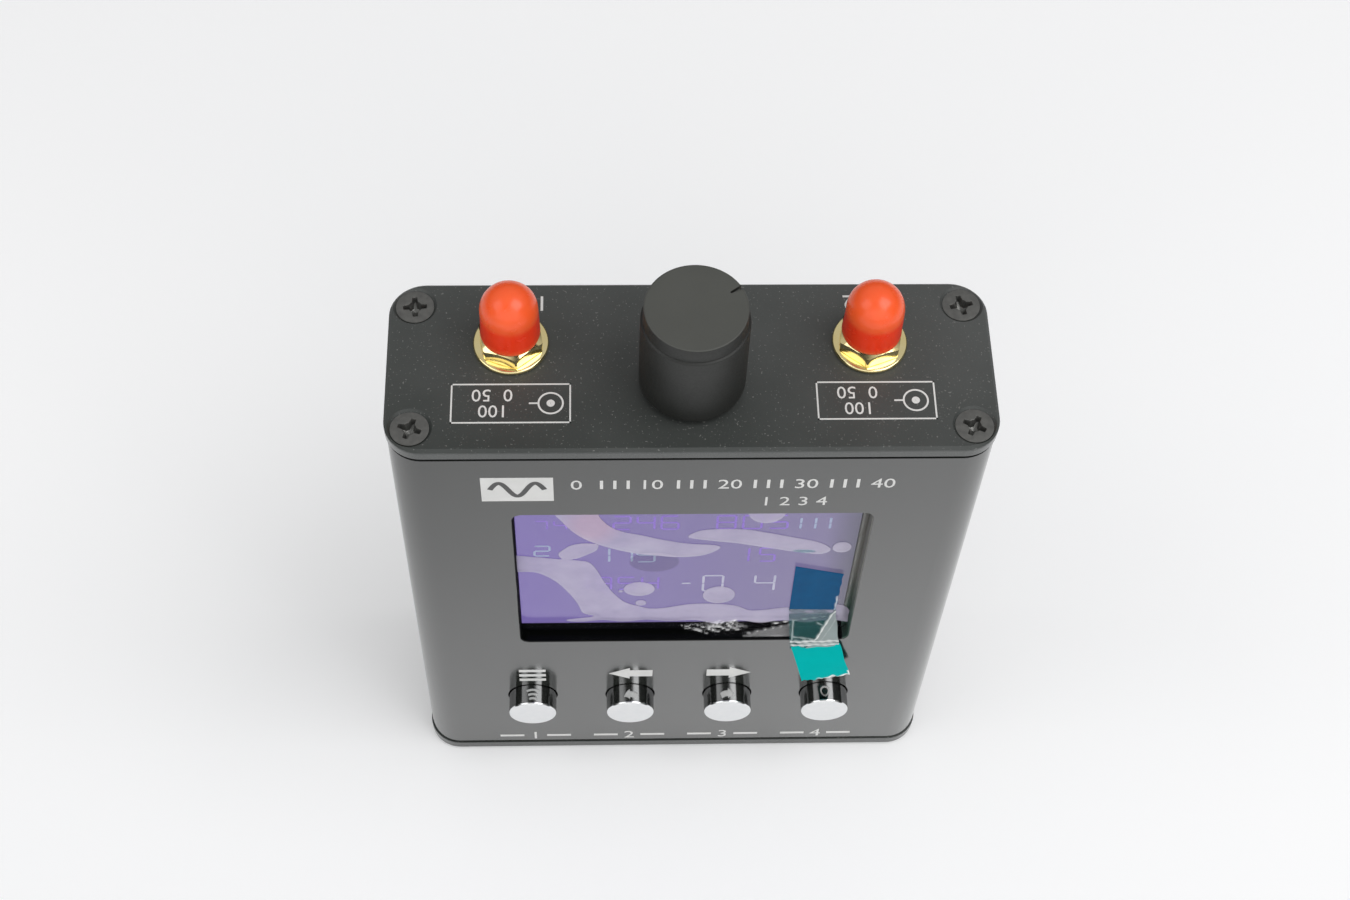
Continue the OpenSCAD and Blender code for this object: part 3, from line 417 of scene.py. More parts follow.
pale = soft.blend((0.5, 0.46, 0.6), (0.64, 0.6, 0.72))
pale = (spot(x, z, (-13.6, 72.3), (2.0, 2.6), 1.4) * 0.5).blend(pale, (0.72, 0.48, 0.55))
pale = (spot(x, z, (17.2, 64.35), (1.45, 0.5), 0.25) * 0.8).blend(pale, (0.1, 0.3, 0.36))
film_finish.feed(
    Base_Color=fold.blend(bubble.blend((0.03, 0.03, 0.035), pale), (0.95, 0.95, 0.95)),
    Roughness=0.1 + soft * 0.14,
    Alpha=(0.04 + bubble * (0.38 + soft * 0.2) + fold * 0.85
           + spot(x, z, (-4.5, 61.3), (3.45, 2.9), 0.1) * 0.12).clamp(),
    Normal=where.noise(3.0).bump(0.05, 0.3))

print_finish = moulded("white_print", (0.6, 0.6, 0.59), (0.78, 0.78, 0.76), 0.5)
grey_print_finish = moulded("dark_print", (0.05, 0.05, 0.05), (0.08, 0.08, 0.08), 0.5)

# %% [markdown]
# The pull tape is clear where it bridges the window's edge, with its creases painted white as painted highlights, and
# looks blue where its glue holds it to the film. The tab at its end is printed teal, and its lower edge and lower
# right corner are painted white as a painted highlight on their curl.

# %% Tape and tab
tape_finish = Finish("creased_tape", Specular_IOR_Level=0.3, IOR=1.15)
# Painted highlight: the creases are painted white.
glued, crease_with_highlight = tape_finish.mark("glued"), tape_finish.mark("crease_with_highlight")
cloud = tape_finish.place()[0].noise(2.5)
clear = cloud.blend((0.004, 0.07, 0.07), (0.09, 0.24, 0.24))
blue = cloud.blend((0.0, 0.065, 0.18), (0.0, 0.1, 0.25))
tape_finish.feed(
    Base_Color=crease_with_highlight.blend(glued.blend(clear, blue), (0.92, 0.93, 0.92)),
    Roughness=0.12 + cloud * 0.2,
    Alpha=(0.34 + glued * 0.54 + crease_with_highlight * 0.55).clamp(),
    Normal=cloud.bump(0.15, 0.5))

tab_finish = Finish("teal_tab", Specular_IOR_Level=0.2, IOR=1.08)
ink = tab_finish.place()[0].noise(3.0)
teal = ink.blend((0.0, 0.4, 0.385), (0.0, 0.46, 0.445))
# Painted highlight: the curled lower edge and lower right corner are painted white.
tab_finish.feed(
    Base_Color=tab_finish.mark("torn").blend(teal, (0.88, 0.88, 0.86)),
    Roughness=0.24 + ink * 0.15,
    Normal=ink.bump(0.1, 0.4))

# %% [markdown]
# ## Surfaces from grids
#
# Each new shape starts as rows of points. A skin joins the rows into one closed surface: either the first and last
# rows close on a single point each, or the last row meets the first, as on a ring. A slab joins two sheets of points
# along their rim, as for a film. Which way the faces wind doesn't matter while building, because the signed volume
# tells at the end whether the surface has to be turned.


# %% Skins, slabs and prisms
def skin(rows, ends="poles"):
    """A closed surface from rows of points, where each row runs once round: neighbours join into four-sided faces."""
    count, width, _ = rows.shape
    index = np.arange(count * width).reshape(count, width)
    near, far = (index, np.roll(index, -1, 0)) if ends == "loop" else (index[:-1], index[1:])
    quads = np.stack([near, np.roll(near, -1, 1), np.roll(far, -1, 1), far], -1).reshape(-1, 4)
    points, faces = rows.reshape(-1, 3), [quads]
    if ends == "poles":
        points = np.vstack([points, rows[0].mean(0), rows[-1].mean(0)])
        for row, pole, step in ((index[0], count * width, -1), (index[-1], count * width + 1, 1)):
            faces.append(np.stack([row, np.roll(row, -1), np.full(width, pole)], -1)[:, ::step])
    return points, faces


def slab(front, back):
    """A closed sheet from two grids of points of the same size: both faces, and a strip round the rim."""
    rows, columns, _ = front.shape
    grid = np.arange(rows * columns).reshape(rows, columns)
    quads = np.stack([grid[:-1, :-1], grid[1:, :-1], grid[1:, 1:], grid[:-1, 1:]], -1).reshape(-1, 4)
    rim = np.concatenate([grid[:-1, 0], grid[-1, :-1], grid[:0:-1, -1], grid[0, :0:-1]])
    ahead, below = np.roll(rim, -1), rows * columns
    strip = np.stack([ahead, rim, rim + below, ahead + below], -1)
    return np.vstack([front.reshape(-1, 3), back.reshape(-1, 3)]), [quads, quads[:, ::-1] + below, strip]


def around(columns):
    """Angles once round, without the last one."""
    return np.linspace(0.0, 2.0 * np.pi, columns, endpoint=False)


def circled(angle, radius, height, centre=(0.0, 0.0)):
    """Points at x = r cos a, y = r sin a, z = height about an upright axis, where all three may vary over the grid."""
    angle, radius, height = np.broadcast_arrays(angle, radius, height)
    return np.stack([radius * np.cos(angle) + centre[0], radius * np.sin(angle) + centre[1], height], -1)


def turned(profile, columns=96, centre=(0.0, 0.0), ends="poles"):
    """A profile of (radius, height) turned about an upright axis."""
    radius, height = np.asarray(profile, float).T[:, :, None]
    return skin(circled(around(columns)[None, :], radius, height, centre), ends)


def stacked(angle, rings):
    """A closed ring of a surface from a few (radius, height), each of them one row."""
    return skin(np.concatenate([circled(angle, radius, height) for radius, height in rings]), "loop")


def unit(value):
    """Held between 0 and 1."""
    return np.clip(value, 0.0, 1.0)


def ease(value):
    """From 0 to 1 with a soft start and end."""
    return value * value * (3.0 - 2.0 * value)


def prism(outline, low, high):
    """An outline of (x, y) between two heights, closed by fans from the middle of each end."""
    outline = np.asarray(outline, float)
    rows = np.stack([np.column_stack([outline, np.full(len(outline), level)]) for level in (low, high)])
    return skin(rows)


def arc(centre, radius, start, end, steps):
    """Points (r, z) on a circle between two angles in degrees, for a rounded edge of a profile."""
    angle = np.radians(np.linspace(start, end, steps))
    return np.column_stack([centre[0] + radius * np.cos(angle), centre[1] + radius * np.sin(angle)])


def moved(part, change):
    """The same faces on points changed by a function of the array."""
    return change(part[0]), part[1]


def volume(points, faces):
    """The signed volume: each face's fan of triangles with the origin, a sixth of the triple product."""
    total = 0.0
    for group in faces:
        for corner in range(1, group.shape[1] - 1):
            a, b, c = points[group[:, 0]], points[group[:, corner]], points[group[:, corner + 1]]
            total += np.einsum("ij,ij->i", a, np.cross(b, c)).sum() / 6.0
    return total


def piece(name, parts, finish, body, replaces=(), smooth=38.0, marks=None):
    """Joins parts into one object, turned outwards, and lets it ride on its CAD body."""
    points, faces, count = [], [], 0
    for part_points, part_faces in parts:
        outward = volume(part_points - part_points.mean(0), part_faces) > 0.0
        faces += [(group if outward else group[:, ::-1]) + count for group in part_faces]
        points.append(part_points)
        count += len(part_points)
    mesh = bpy.data.meshes.new(name)
    corners = np.concatenate([group.ravel() for group in faces])
    sizes = np.concatenate([np.full(len(group), group.shape[1]) for group in faces])
    mesh.vertices.add(count)
    mesh.vertices.foreach_set("co", (np.vstack(points) * MM).ravel())
    mesh.loops.add(len(corners))
    mesh.loops.foreach_set("vertex_index", corners)
    mesh.polygons.add(len(sizes))
    mesh.polygons.foreach_set("loop_start", np.cumsum(sizes) - sizes)
    mesh.update(calc_edges=True)
    for key, values in (marks or {}).items():
        mesh.attributes.new(key, "FLOAT", "POINT").data.foreach_set("value", np.ravel(values).astype(np.float32))
    mesh.shade_smooth()
    mesh.set_sharp_from_angle(angle=math.radians(smooth))
    mesh.materials.append(finish.owner)
    made = into_scene(name, mesh)
    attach(made, body)
    if replaces:
        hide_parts(*replaces)
    print(f"{name}: {count} points, {len(sizes)} faces")
    return made


# %% [markdown]
# ## Plate screws
#
# A countersunk screw with a cross recess. The head is a height over a disc: the recess is the lowest of two crossed
# arms, each narrowing towards its end and its floor. The rows then run over the rim, down the cone and along the
# thread to the tip, so the whole screw is one skin. Each screw stopped at its own angle when it was tightened.


# %% Screws
def screw(turn, thread_l=9.0, thread_pitch=0.5, arm_l=1.62):
    """A screw that points down from z = 0: rows of rising radius on the head, then the cone and a ridged shank. Each
    arm of the recess is depth = min(half width - across, length - along), and the well in its middle a cone."""
    angle = around(120)[None, :]
    radius = np.concatenate([np.linspace(0.05, 2.36, 46), [2.48, 2.56, 2.6]])[:, None]
    u, v = radius * np.cos(angle), radius * np.sin(angle)
    arms = [np.minimum(0.5 - 0.1 * along - across, arm_l - along)
            for along, across in ((np.abs(u), np.abs(v)), (np.abs(v), np.abs(u)))]
    well = np.clip((0.95 - np.hypot(u, v)) / 0.5, -1.0, 1.0) * 0.3
    fall = ease(unit(np.maximum(np.maximum(*arms), well) / 0.22))
    shallower = 1.0 - 0.35 * radius / 1.72 * (radius < 1.72)
    head = np.stack([u, v, -0.2 - 0.1 * (radius / 2.75) ** 4 - 1.5 * fall * shallower], -1)
    drop = np.linspace(0.0, 1.0, 160)[:, None]
    down_cone = np.minimum(drop * 10.0, 1.0)
    z = -0.36 - 1.2 * down_cone - (thread_l - 1.9) * unit((drop - 0.1) / 0.9)
    ridge = 0.16 * (0.5 - np.abs(((z / thread_pitch - angle / (2.0 * np.pi)) % 1.0) - 0.5)) * unit((drop - 0.12) * 20.0)
    shank = (2.6 - 1.1 * down_cone - ridge) * np.where(drop > 0.97, 1.0 - (drop - 0.97) * 12.0, 1.0)
    cos_turn, sin_turn = math.cos(math.radians(turn)), math.sin(math.radians(turn))
    return moved(skin(np.concatenate([head, circled(angle, shank, z)])),
                 lambda p: p @ np.array([[cos_turn, sin_turn, 0], [-sin_turn, cos_turn, 0], [0, 0, 1.0]]))


screw_places = [(-37.5, 9.8, 4), (37.5, 9.8, 12), (-37.5, -9.8, -20), (37.5, -9.8, 62)]
lid_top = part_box("top_plate")[1].z / MM
for end, level, flip in (("top", lid_top, 1), ("bottom", 0.0, -1)):
    piece("plate_screws_" + end, [moved(screw(turn), lambda p: (p + [x, y, level]) * [1, 1, flip])
                                  for x, y, turn in screw_places],
          screw_finish, "case", (end + "_plate_screws",))

# %% [markdown]
# ## Ports
#
# A coaxial port is a threaded barrel on a square body that is soldered to the board. The thread is a helix: its
# radius at an angle and a height depends on how far the height runs ahead of the angle, so one formula gives every
# turn. The washer is a ring with a rounded edge. The nut is a ring too, whose outer radius follows a hexagon, cut by
# a cone at the top, which leaves the arcs that real nuts have.


# %% Port hardware
port_places = {-1: "1", 1: "2"}
port_y, port_x, tip_z, pitch = 3.4, 24.3, 105.6, 25.4 / 36.0
bore_r, washer_h = 2.08, 0.7


def barrel():
    """Rows up the outside, with radius = crest - depth * |saw(z / pitch - angle)|, then down the bore."""
    angle, foot, shoulder = around(72)[None, :], 94.2, tip_z - 0.3
    z = np.linspace(foot, shoulder, 17 * 12)[:, None]
    saw = np.abs(((z / pitch - angle / (2.0 * np.pi)) % 1.0) - 0.5) * 2.0
    radius = 3.17 - 0.38 * unit(saw * 1.3 - 0.15) - 0.3 * (1.0 - unit((shoulder - z) / 0.6))
    inner = np.array([[2.75, tip_z], [2.42, tip_z], [2.35, tip_z - 0.08], [2.35, 103.72], [bore_r, 103.7],
                      [bore_r, foot]])
    return skin(np.concatenate([circled(angle, radius, z), circled(angle, inner[:, :1], inner[:, 1:])]), "loop")


def square_body(side=8.0, low=91.4, high=94.4):
    """A square block with a bore: the outside radius is that of a rounded square at each angle."""
    angle = around(96)[None, :]
    square = side / 2.0 / (np.abs(np.cos(angle)) ** 14 + np.abs(np.sin(angle)) ** 14) ** (1.0 / 14.0)
    return stacked(angle, [(square - 0.2, low), (square, low + 0.2), (square, high - 0.15), (square - 0.15, high),
                           (bore_r, high), (bore_r, low)])


def leg(x, y, low=87.4, high=91.6, half=0.5):
    """A square post with a pointed foot."""
    corners = np.array([[1, 1], [-1, 1], [-1, -1], [1, -1]]) * half
    rows = [np.column_stack([corners * s + [x, y], np.full(4, z)])
            for s, z in ((0.5, low), (1.0, low + 0.4), (1.0, high))]
    return skin(np.stack(rows))


def hexagon_nut(flats, bore, height, turn):
    """A ring with outside = a / cos(angle to the nearest flat) and its shoulder at height - 0.62 (outside - a)."""
    angle = around(180)[None, :]
    apothem = flats / 2.0
    away = np.radians((np.degrees(angle) - (turn - 90.0)) % 60.0 - 30.0)
    outside = np.minimum(apothem / np.cos(away), apothem * 1.135)
    shoulder = height - (outside - apothem) * 0.62 - 0.05
    top = np.minimum(outside, apothem * 0.985)
    return stacked(angle, [(outside - 0.12, 0.0), (outside, 0.12), (outside, shoulder), (top, height),
                           (bore + 0.35, height), (bore + 0.05, height - 0.3), (bore + 0.05, 0.0)])


def port_washer():
    """A flat ring with a rolled outer edge, an arc stretched to the washer's height."""
    edge = arc((4.9, 0.0), 0.23, -90, 90, 7) * [1.0, 1.5] + [0.0, lid_top + washer_h / 2.0]
    profile = np.vstack([edge, [[3.6, lid_top + washer_h], [3.4, lid_top + 0.62], [3.4, lid_top + 0.02]]])
    return turned(profile, 120, ends="loop")


for side, number in port_places.items():
    legs = [leg(x, y) for x in (-3.5, 3.5) for y in (-0.1, 2.5)]
    nut = hexagon_nut(8.0, 3.175, 2.2, 10 if side < 0 else -9)
    for kind, parts, level, smooth in (("jack", [barrel(), square_body(), *legs], 0.0, 38.0),
                                       ("washer", [port_washer()], 0.0, 38.0),
                                       ("nut", [nut], lid_top + washer_h, 25.0)):
        piece(f"port_{kind}_detail_{number}",
              [moved(part, lambda p: p + [side * port_x, port_y, level]) for part in parts],
              gold_finish, "case", (f"port_{kind}_{number}",), smooth=smooth)

# %% [markdown]
# ## Dust caps
#
# A dust cap is dipped, so every edge is round and the wall swells a little towards the foot. The profile runs up the
# bore, round the lip and over the dome, and a slow wave round the axis keeps it from looking turned on a lathe.


# %% Dust caps
def dust_cap():
    """A closed profile turned about the axis, its radius waving by half a percent three times round."""
    foot, top = (corner.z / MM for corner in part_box("dust_cap_1"))
    outer = np.vstack([
        [[0.02, 105.8], [3.0, 105.8], [3.24, 105.6], [3.24, foot + 0.3], [3.36, foot + 0.05]],
        arc((3.8, foot + 0.28), 0.26, 240, 370, 7), [[4.02, foot + 0.9], [3.98, foot + 1.8], [3.94, foot + 3.2]],
        arc((0.0, top - 3.94), 3.91, 2, 90, 26)[:-1], [[0.02, top - 0.03]]])
    points, faces = turned(outer)
    angle = np.arctan2(points[:, 1], points[:, 0])
    points[:, :2] *= (1.0 + 0.004 * np.sin(3 * angle + points[:, 2]))[:, None]
    return points, faces


for side, name in ((-1, "left"), (1, "right")):
    piece(f"dust_cap_{name}_vinyl", [moved(dust_cap(), lambda p: p + [side * port_x, port_y, 0.0])],
          vinyl_finish, f"dust_cap_{name}", (f"dust_cap_{port_places[side]}",), smooth=50.0)

# %% [markdown]
# ## Tuning knob
#
# The knob is one skin from the bore for the shaft, round the open foot, up the side, over the bevelled rim and to
# the middle of the top. The pointer notch is part of the height: points of the rim that lie within the notch sink.
# Most columns of points gather round the notch, so that its edges come out straight.


# %% Knob
def tuning_knob(notch_turn=28.0, centre_y=-2.6):
    """A profile turned about the axis, with height = min(height, notch floor) inside the notch."""
    spread = np.linspace(-1.0, 1.0, 201)[:-1]
    angle = (math.radians(notch_turn) + math.pi * (0.12 * spread + 0.88 * spread ** 3))[None, :]
    low, high = (corner.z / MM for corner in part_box("tuning_knob"))
    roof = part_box("encoder_shaft")[1].z / MM + 0.03
    top = np.column_stack([np.linspace(6.62, 0.05, 74), np.full(74, high)])
    profile = np.vstack([
        [[0.05, roof], [3.03, roof], [3.03, 102.2], [6.25, 102.2], [6.3, 102.0], [6.3, low + 0.2]],
        [[6.45, low]], arc((6.93, low + 0.25), 0.25, -90, 0, 5), [[7.18, low + 6.0], [7.17, high - 2.9]],
        arc((6.97, high - 2.75), 0.2, 0, 70, 6), [[6.87, high - 2.45], [6.83, high - 1.2]],
        arc((6.6, high - 0.18), 0.2, 10, 90, 6), top])
    radius, height = profile.T[:, :, None]
    away = angle - math.radians(notch_turn)
    across, along = np.abs(radius * np.sin(away)), radius * np.cos(away)
    widen = 0.12 + 0.26 * unit((along - 5.0) / 1.8)
    sunk = unit((widen - across) / 0.1) * unit((along - 5.0) / 0.2) * (height > high - 2.6)
    floor = high - 0.45 - 1.1 * unit((radius - 6.6) / 0.4)
    height = np.where(sunk > 0.0, np.minimum(height, height + (floor - height) * sunk), height)
    height = height - 0.1 * unit(1.0 - radius / 5.8) * (height > high - 0.05)
    return skin(circled(angle, radius, height, (0.0, centre_y)))


piece("tuning_knob_skin", [tuning_knob()], knob_finish, "knob", ("tuning_knob",), smooth=30.0)

# %% [markdown]
# ## Keys
#
# Four chrome caps stand out of the front. Each is turned about an axis that points at the viewer, so the profile is
# worked out upright and then laid forward by swapping the axes. The face is flat with a rolled edge. A number at each
# point says how much it belongs to the flank, most at the left and right: there the chrome is painted darker, as a
# painted dark reflection.


# %% Key caps
def key_cap(x, z):
    """Height in the profile becomes distance towards the front: (x, y, z) = (x + u, -height, z + v)."""
    front, back = (-corner.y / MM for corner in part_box("key_cap_1"))
    tip, flank_r = front - 1.0, 3.8
    profile = np.vstack([
        [[0.02, tip], [1.78, tip], [1.78, back + 0.1], [1.9, back], [3.7, back], [flank_r, back + 0.1]],
        np.column_stack([np.full(6, flank_r), np.linspace(back + 0.6, front - 0.5, 6)]),
        arc((3.42, front - 0.43), 0.38, 0, 80, 8),
        np.column_stack([np.linspace(3.3, 0.02, 12), np.full(12, front - 0.02)])])
    points, faces = turned(profile, 128)
    u, v, height = points.T
    # Painted dark reflection: how much darker the chrome of the flank is painted.
    side = unit((front - 0.25 - height) / 0.25) * (0.25 + 0.5 * u ** 2 / (u ** 2 + v ** 2))
    return (np.stack([u + x, -height, v + z], -1), faces), side


for number in range(1, 5):
    low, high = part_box(f"key_cap_{number}")
    middle = (low + high) / 2 / MM
    cap, side = key_cap(middle.x, middle.z)
    piece(f"key_cap_chrome_{number}", [cap], chrome_finish, f"key_{number}", (f"key_cap_{number}",),
          smooth=30.0, marks={"side": side})

# %% [markdown]
# ## Digits on the display
#
# Each digit has seven strokes, a to g, and a table says which of them each digit lights. The strokes are thin
# six-sided prisms with a gap between them, laid on the glass under the film. Plain numbers stand in the three rows.

# %% Seven-stroke digits
lit_strokes = {"0": "abcdef", "1": "bc", "2": "abged", "3": "abgcd", "4": "fgbc", "5": "afgcd", "6": "afgedc",
               "7": "abc", "8": "abcdefg", "9": "abcdfg", "-": "g"}


def stroke(start, end, width):
    """A six-sided bar from start to end in x and z, pointed at both ends."""
    start, end = np.array(start, float), np.array(end, float)
    run = (end - start) / np.hypot(*(end - start))
    side = np.array([-run[1], run[0]]) * width / 2.0
    start, end, tip = start + run * width * 0.55, end - run * width * 0.55, run * width * 0.4
    return np.array([start - tip, start - side, end - side, end + tip, end + side, start + side])


def digits(text, left, foot, width, height, pitch, weight):
    """The strokes of a row of digits, as thin prisms that stand on the glass; a point is a small square."""
    outlines, x = [], left
    for sign in text:
        if sign == ".":
            corner = [x - (pitch - width) * 0.75, foot]
            outlines.append(np.array([[0, 0], [1, 0], [1, 1], [0, 1]]) * weight * 1.2 + corner)
            continue
        a, b, mid = foot + height, foot, foot + height / 2.0
        ends = {"a": ((x, a), (x + width, a)), "b": ((x + width, a), (x + width, mid)),
                "c": ((x + width, mid), (x + width, b)), "d": ((x, b), (x + width, b)), "e": ((x, mid), (x, b)),
                "f": ((x, a), (x, mid)), "g": ((x, mid), (x + width, mid))}
        outlines += [stroke(*ends[key], weight) for key in lit_strokes.get(sign, "")]
        x += pitch
    return [moved(prism(outline, 0.002, 0.022), lambda p: np.stack([p[:, 0], glass_y - p[:, 2], p[:, 1]], -1))
            for outline in outlines]


display = {
    "violet": (violet_digit, [("246", -10.5, 70.9, 2.4, 3.7, 3.4, 0.34), ("805", 4.2, 70.9, 2.6, 3.7, 3.7, 0.34),
                              ("74", -21.6, 71.0, 1.7, 2.4, 2.7, 0.28), ("1354", -16.7, 52.6, 2.4, 3.8, 3.5, 0.34),
                              ("15", 7.0, 61.1, 2.2, 4.0, 3.8, 0.34)]),
    "cyan": (cyan_digit, [("2", -21.9, 63.2, 2.2, 2.9, 4.4, 0.34), ("175", -13.6, 61.2, 2.5, 4.1, 3.3, 0.36),
                          ("111", 14.9, 70.7, 1.2, 3.2, 2.1, 0.34)]),
    "pale": (pale_digit, [("-", -0.4, 51.9, 1.5, 4.9, 4.0, 0.36), ("0.", 2.9, 51.9, 2.9, 4.8, 5.7, 0.36),
                          ("416", 10.6, 51.9, 2.9, 4.8, 3.9, 0.36)]),
}
for colour, (finish, rows) in display.items():
    piece(f"display_digits_{colour}", [part for row in rows for part in digits(*row)], finish, "case")

# %% [markdown]
# ## The film and its bubbles
#
# A bubble is an outline of a few points, rounded by a closed cubic spline. How deep a point of the film lies inside
# it is its distance to the nearest edge, positive within the outline. The film bulges by a smooth function of that
# depth. Its foot has come loose at the right, stands off the glass and is crumpled: each of its creases is a short
# line that lifts the film and is painted white as a painted highlight, which falls off with the distance to it.


# %% Film
def rounded_outline(points, steps=6):
    """A closed cubic spline through the points: each span blends its two ends and their neighbours."""
    p1 = np.asarray(points, float)
    p0, p2, p3 = np.roll(p1, 1, 0), np.roll(p1, -1, 0), np.roll(p1, -2, 0)
    t = (np.arange(steps) / steps)[None, :, None]
    p0, p1, p2, p3 = (p[:, None, :] for p in (p0, p1, p2, p3))
    curve = 0.5 * (2 * p1 + (p2 - p0) * t + (2 * p0 - 5 * p1 + 4 * p2 - p3) * t ** 2
                   + (3 * p1 - p0 - 3 * p2 + p3) * t ** 3)
    return curve.reshape(-1, 2)


def to_lines(x, z, starts, ends):
    """The distance of each point to each of several straight lines, one column for each line."""
    run = ends - starts
    off_x, off_z = x[:, None] - starts[:, 0], z[:, None] - starts[:, 1]
    share = unit((off_x * run[:, 0] + off_z * run[:, 1]) / (run ** 2).sum(1))
    return np.hypot(off_x - share * run[:, 0], off_z - share * run[:, 1])


def depth_inside(outline, x, z):
    """The distance to the outline, positive inside: a point is inside when a ray crosses it an odd number of times."""
    ahead = np.roll(outline, -1, 0)
    distance = to_lines(x, z, outline, ahead).min(1)
    over = (outline[:, 1] > z[:, None]) != (ahead[:, 1] > z[:, None])
    slope = (ahead[:, 0] - outline[:, 0]) / np.where(ahead[:, 1] == outline[:, 1], 1e-9, ahead[:, 1] - outline[:, 1])
    crossed = over & (x[:, None] < outline[:, 0] + slope * (z[:, None] - outline[:, 1]))
    return np.where(crossed.sum(1) % 2 == 1, distance, -distance)


def folds(x, z, starts, ends, width, bright):
    """The brightest fold at each point: each falls off from its line as bright * exp(-(distance / width)^2)."""
    return (bright * np.exp(-(to_lines(x, z, starts, ends) / width) ** 2)).max(1)


def oval(centre, width, height):
    """The outline of an oval bubble."""
    angle = around(14)
    return np.column_stack([centre[0] + width / 2 * np.cos(angle), centre[1] + height / 2 * np.sin(angle)])


bubbles = [
    [(-18.9, 76.6), (-17.8, 73.4), (-16.2, 70.3), (-14.2, 67.9), (-11.5, 65.9), (-8.1, 64.2), (-4.7, 63.3),
     (-0.9, 62.7), (2.2, 63.1), (4.0, 64.2), (5.0, 65.6), (3.7, 66.3), (0.3, 66.7), (-3.1, 67.8), (-6.5, 69.3),
     (-8.9, 70.2), (-10.9, 71.8), (-12.2, 74.0), (-13.2, 76.6), (-16.0, 79.0)],
    [(0.2, 68.6), (1.2, 70.1), (2.5, 70.7), (5.2, 71.0), (8.6, 70.7), (12.0, 69.6), (15.5, 68.3), (19.0, 66.9),
     (20.9, 65.1), (20.7, 63.9), (19.3, 63.3), (17.2, 63.7), (14.1, 64.6), (10.6, 65.7), (7.1, 66.8), (3.7, 67.5)],
    oval((22.6, 65.3), 2.8, 3.1), oval((11.1, 75.9), 5.4, 6.6),
    [(-18.5, 63.7), (-17.8, 65.1), (-16.6, 66.4), (-14.9, 67.0), (-12.8, 66.6), (-12.9, 65.0), (-14.3, 63.6),
     (-16.0, 62.4), (-17.7, 62.2)],
    [(-25.5, 63.2), (-21.8, 63.0), (-18.4, 62.3), (-15.3, 61.8), (-13.9, 61.1), (-12.9, 58.9), (-11.9, 55.5),
     (-10.5, 51.7), (-8.7, 48.6), (-6.2, 47.0), (-4.7, 46.4), (-2.6, 46.6), (1.0, 47.7), (4.5, 47.8), (8.1, 47.1),
     (10.4, 45.5), (12.9, 45.7), (16.1, 46.4), (24.5, 47.0), (24.5, 40.4), (8.0, 40.6), (-10.0, 40.6), (-17.7, 42.6),
     (-13.5, 43.9), (-15.1, 45.2), (-15.8, 48.0), (-17.2, 51.9), (-19.2, 55.7), (-21.9, 58.3), (-25.5, 58.9)],
    oval((-6.6, 52.8), 4.7, 4.4), oval((-6.3, 48.3), 1.7, 1.8), oval((5.4, 50.7), 4.9, 5.4),
    oval((-9.4, 52.1), 0.7, 0.8),
]
film_low, film_high = (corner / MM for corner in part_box("screen_film"))
film_x = np.linspace(film_low.x + 0.05, film_high.x - 0.05, 194)
film_z = np.linspace(film_low.z + 0.05, film_high.z - 0.05, 150)
grid_x, grid_z = np.meshgrid(film_x, film_z, indexing="ij")
flat_x, flat_z = grid_x.ravel(), grid_z.ravel()
stuck_foot = 42.4 + 0.25 * np.sin(flat_x * 0.9)
inside = np.max([depth_inside(rounded_outline(outline), flat_x, flat_z) for outline in bubbles], axis=0)
inside = np.minimum(inside, flat_z - stuck_foot)
dice, small_folds = np.random.default_rng(7), 34
starts = np.column_stack([dice.uniform(0.2, 8.5, small_folds), dice.uniform(-0.6, 0.9, small_folds)])
starts[:, 1] += 40.75 + 0.1 * starts[:, 0]
lean = np.radians(dice.uniform(-24, 30, small_folds))
ends = starts + dice.uniform(0.5, 2.2, small_folds)[:, None] * np.column_stack([np.cos(lean), np.sin(lean)])
starts = np.vstack([starts, [[13.9, 42.0], [9.5, 40.2], [13.9, 41.2], [0.0, 41.0], [9.6, 39.95]]])
ends = np.vstack([ends, [[22.0, 43.6], [13.9, 41.2], [16.9, 41.9], [4.0, 40.1], [16.8, 39.8]]])
width = np.concatenate([dice.uniform(0.05, 0.16, small_folds), [0.09, 0.07, 0.08, 0.06, 0.07]])
bright = np.concatenate([dice.uniform(0.3, 1.0, small_folds), [1.0, 0.6, 0.6, 0.7, 0.5]])
flap = np.array([(9.5, 39.9), (12.1, 40.9), (13.9, 41.2), (16.5, 41.8), (17.4, 42.0), (17.4, 39.5), (9.5, 39.5)])
# Painted highlight: these values make the crumpled foot white in the film's colour, and they also lift it.
fold = np.maximum(folds(flat_x, flat_z, starts, ends, width, bright),
                  0.36 * unit(depth_inside(flap, flat_x, flat_z) / 0.06))
bubble_h, fold_h, loose_h = 0.14, 0.16, 1.5
loose = loose_h * unit((43.4 - flat_z) / 3.6) ** 1.2 * unit((flat_x + 1.0) / 6.0)
bulge = (bubble_h * ease(unit(inside / 1.4)) + fold_h * fold + loose).reshape(grid_x.shape)
front, back = (np.stack([grid_x, film_high.y - off - bulge, grid_z], -1) for off in (0.13, 0.035))
piece("screen_film_sheet", [slab(front, back)], film_finish, "case", ("screen_film",), smooth=80.0,
      marks={"bubble": np.tile(inside, 2), "fold": np.tile(fold, 2)})

# %% [markdown]
# ## Pull tape and tab
#
# The tape follows a path: flat on the film, an S over the window's lower edge, the sill, then down in front of the
# wall, leaning out a little. Its grid runs along that path and across it, and small folds move it off the path. Its
# upper end is cut at a slant. The tab is a sheet between four corners, pushed a little out of flat, with its lower
# edge and lower right corner painted white as a painted highlight on their curl.


# %% Tape and tab
sill_z, slope_h, on_film_y, on_front_y, hang = 39.75, 5.5, -11.335, -13.65, 0.087
glue_foot = 46.0


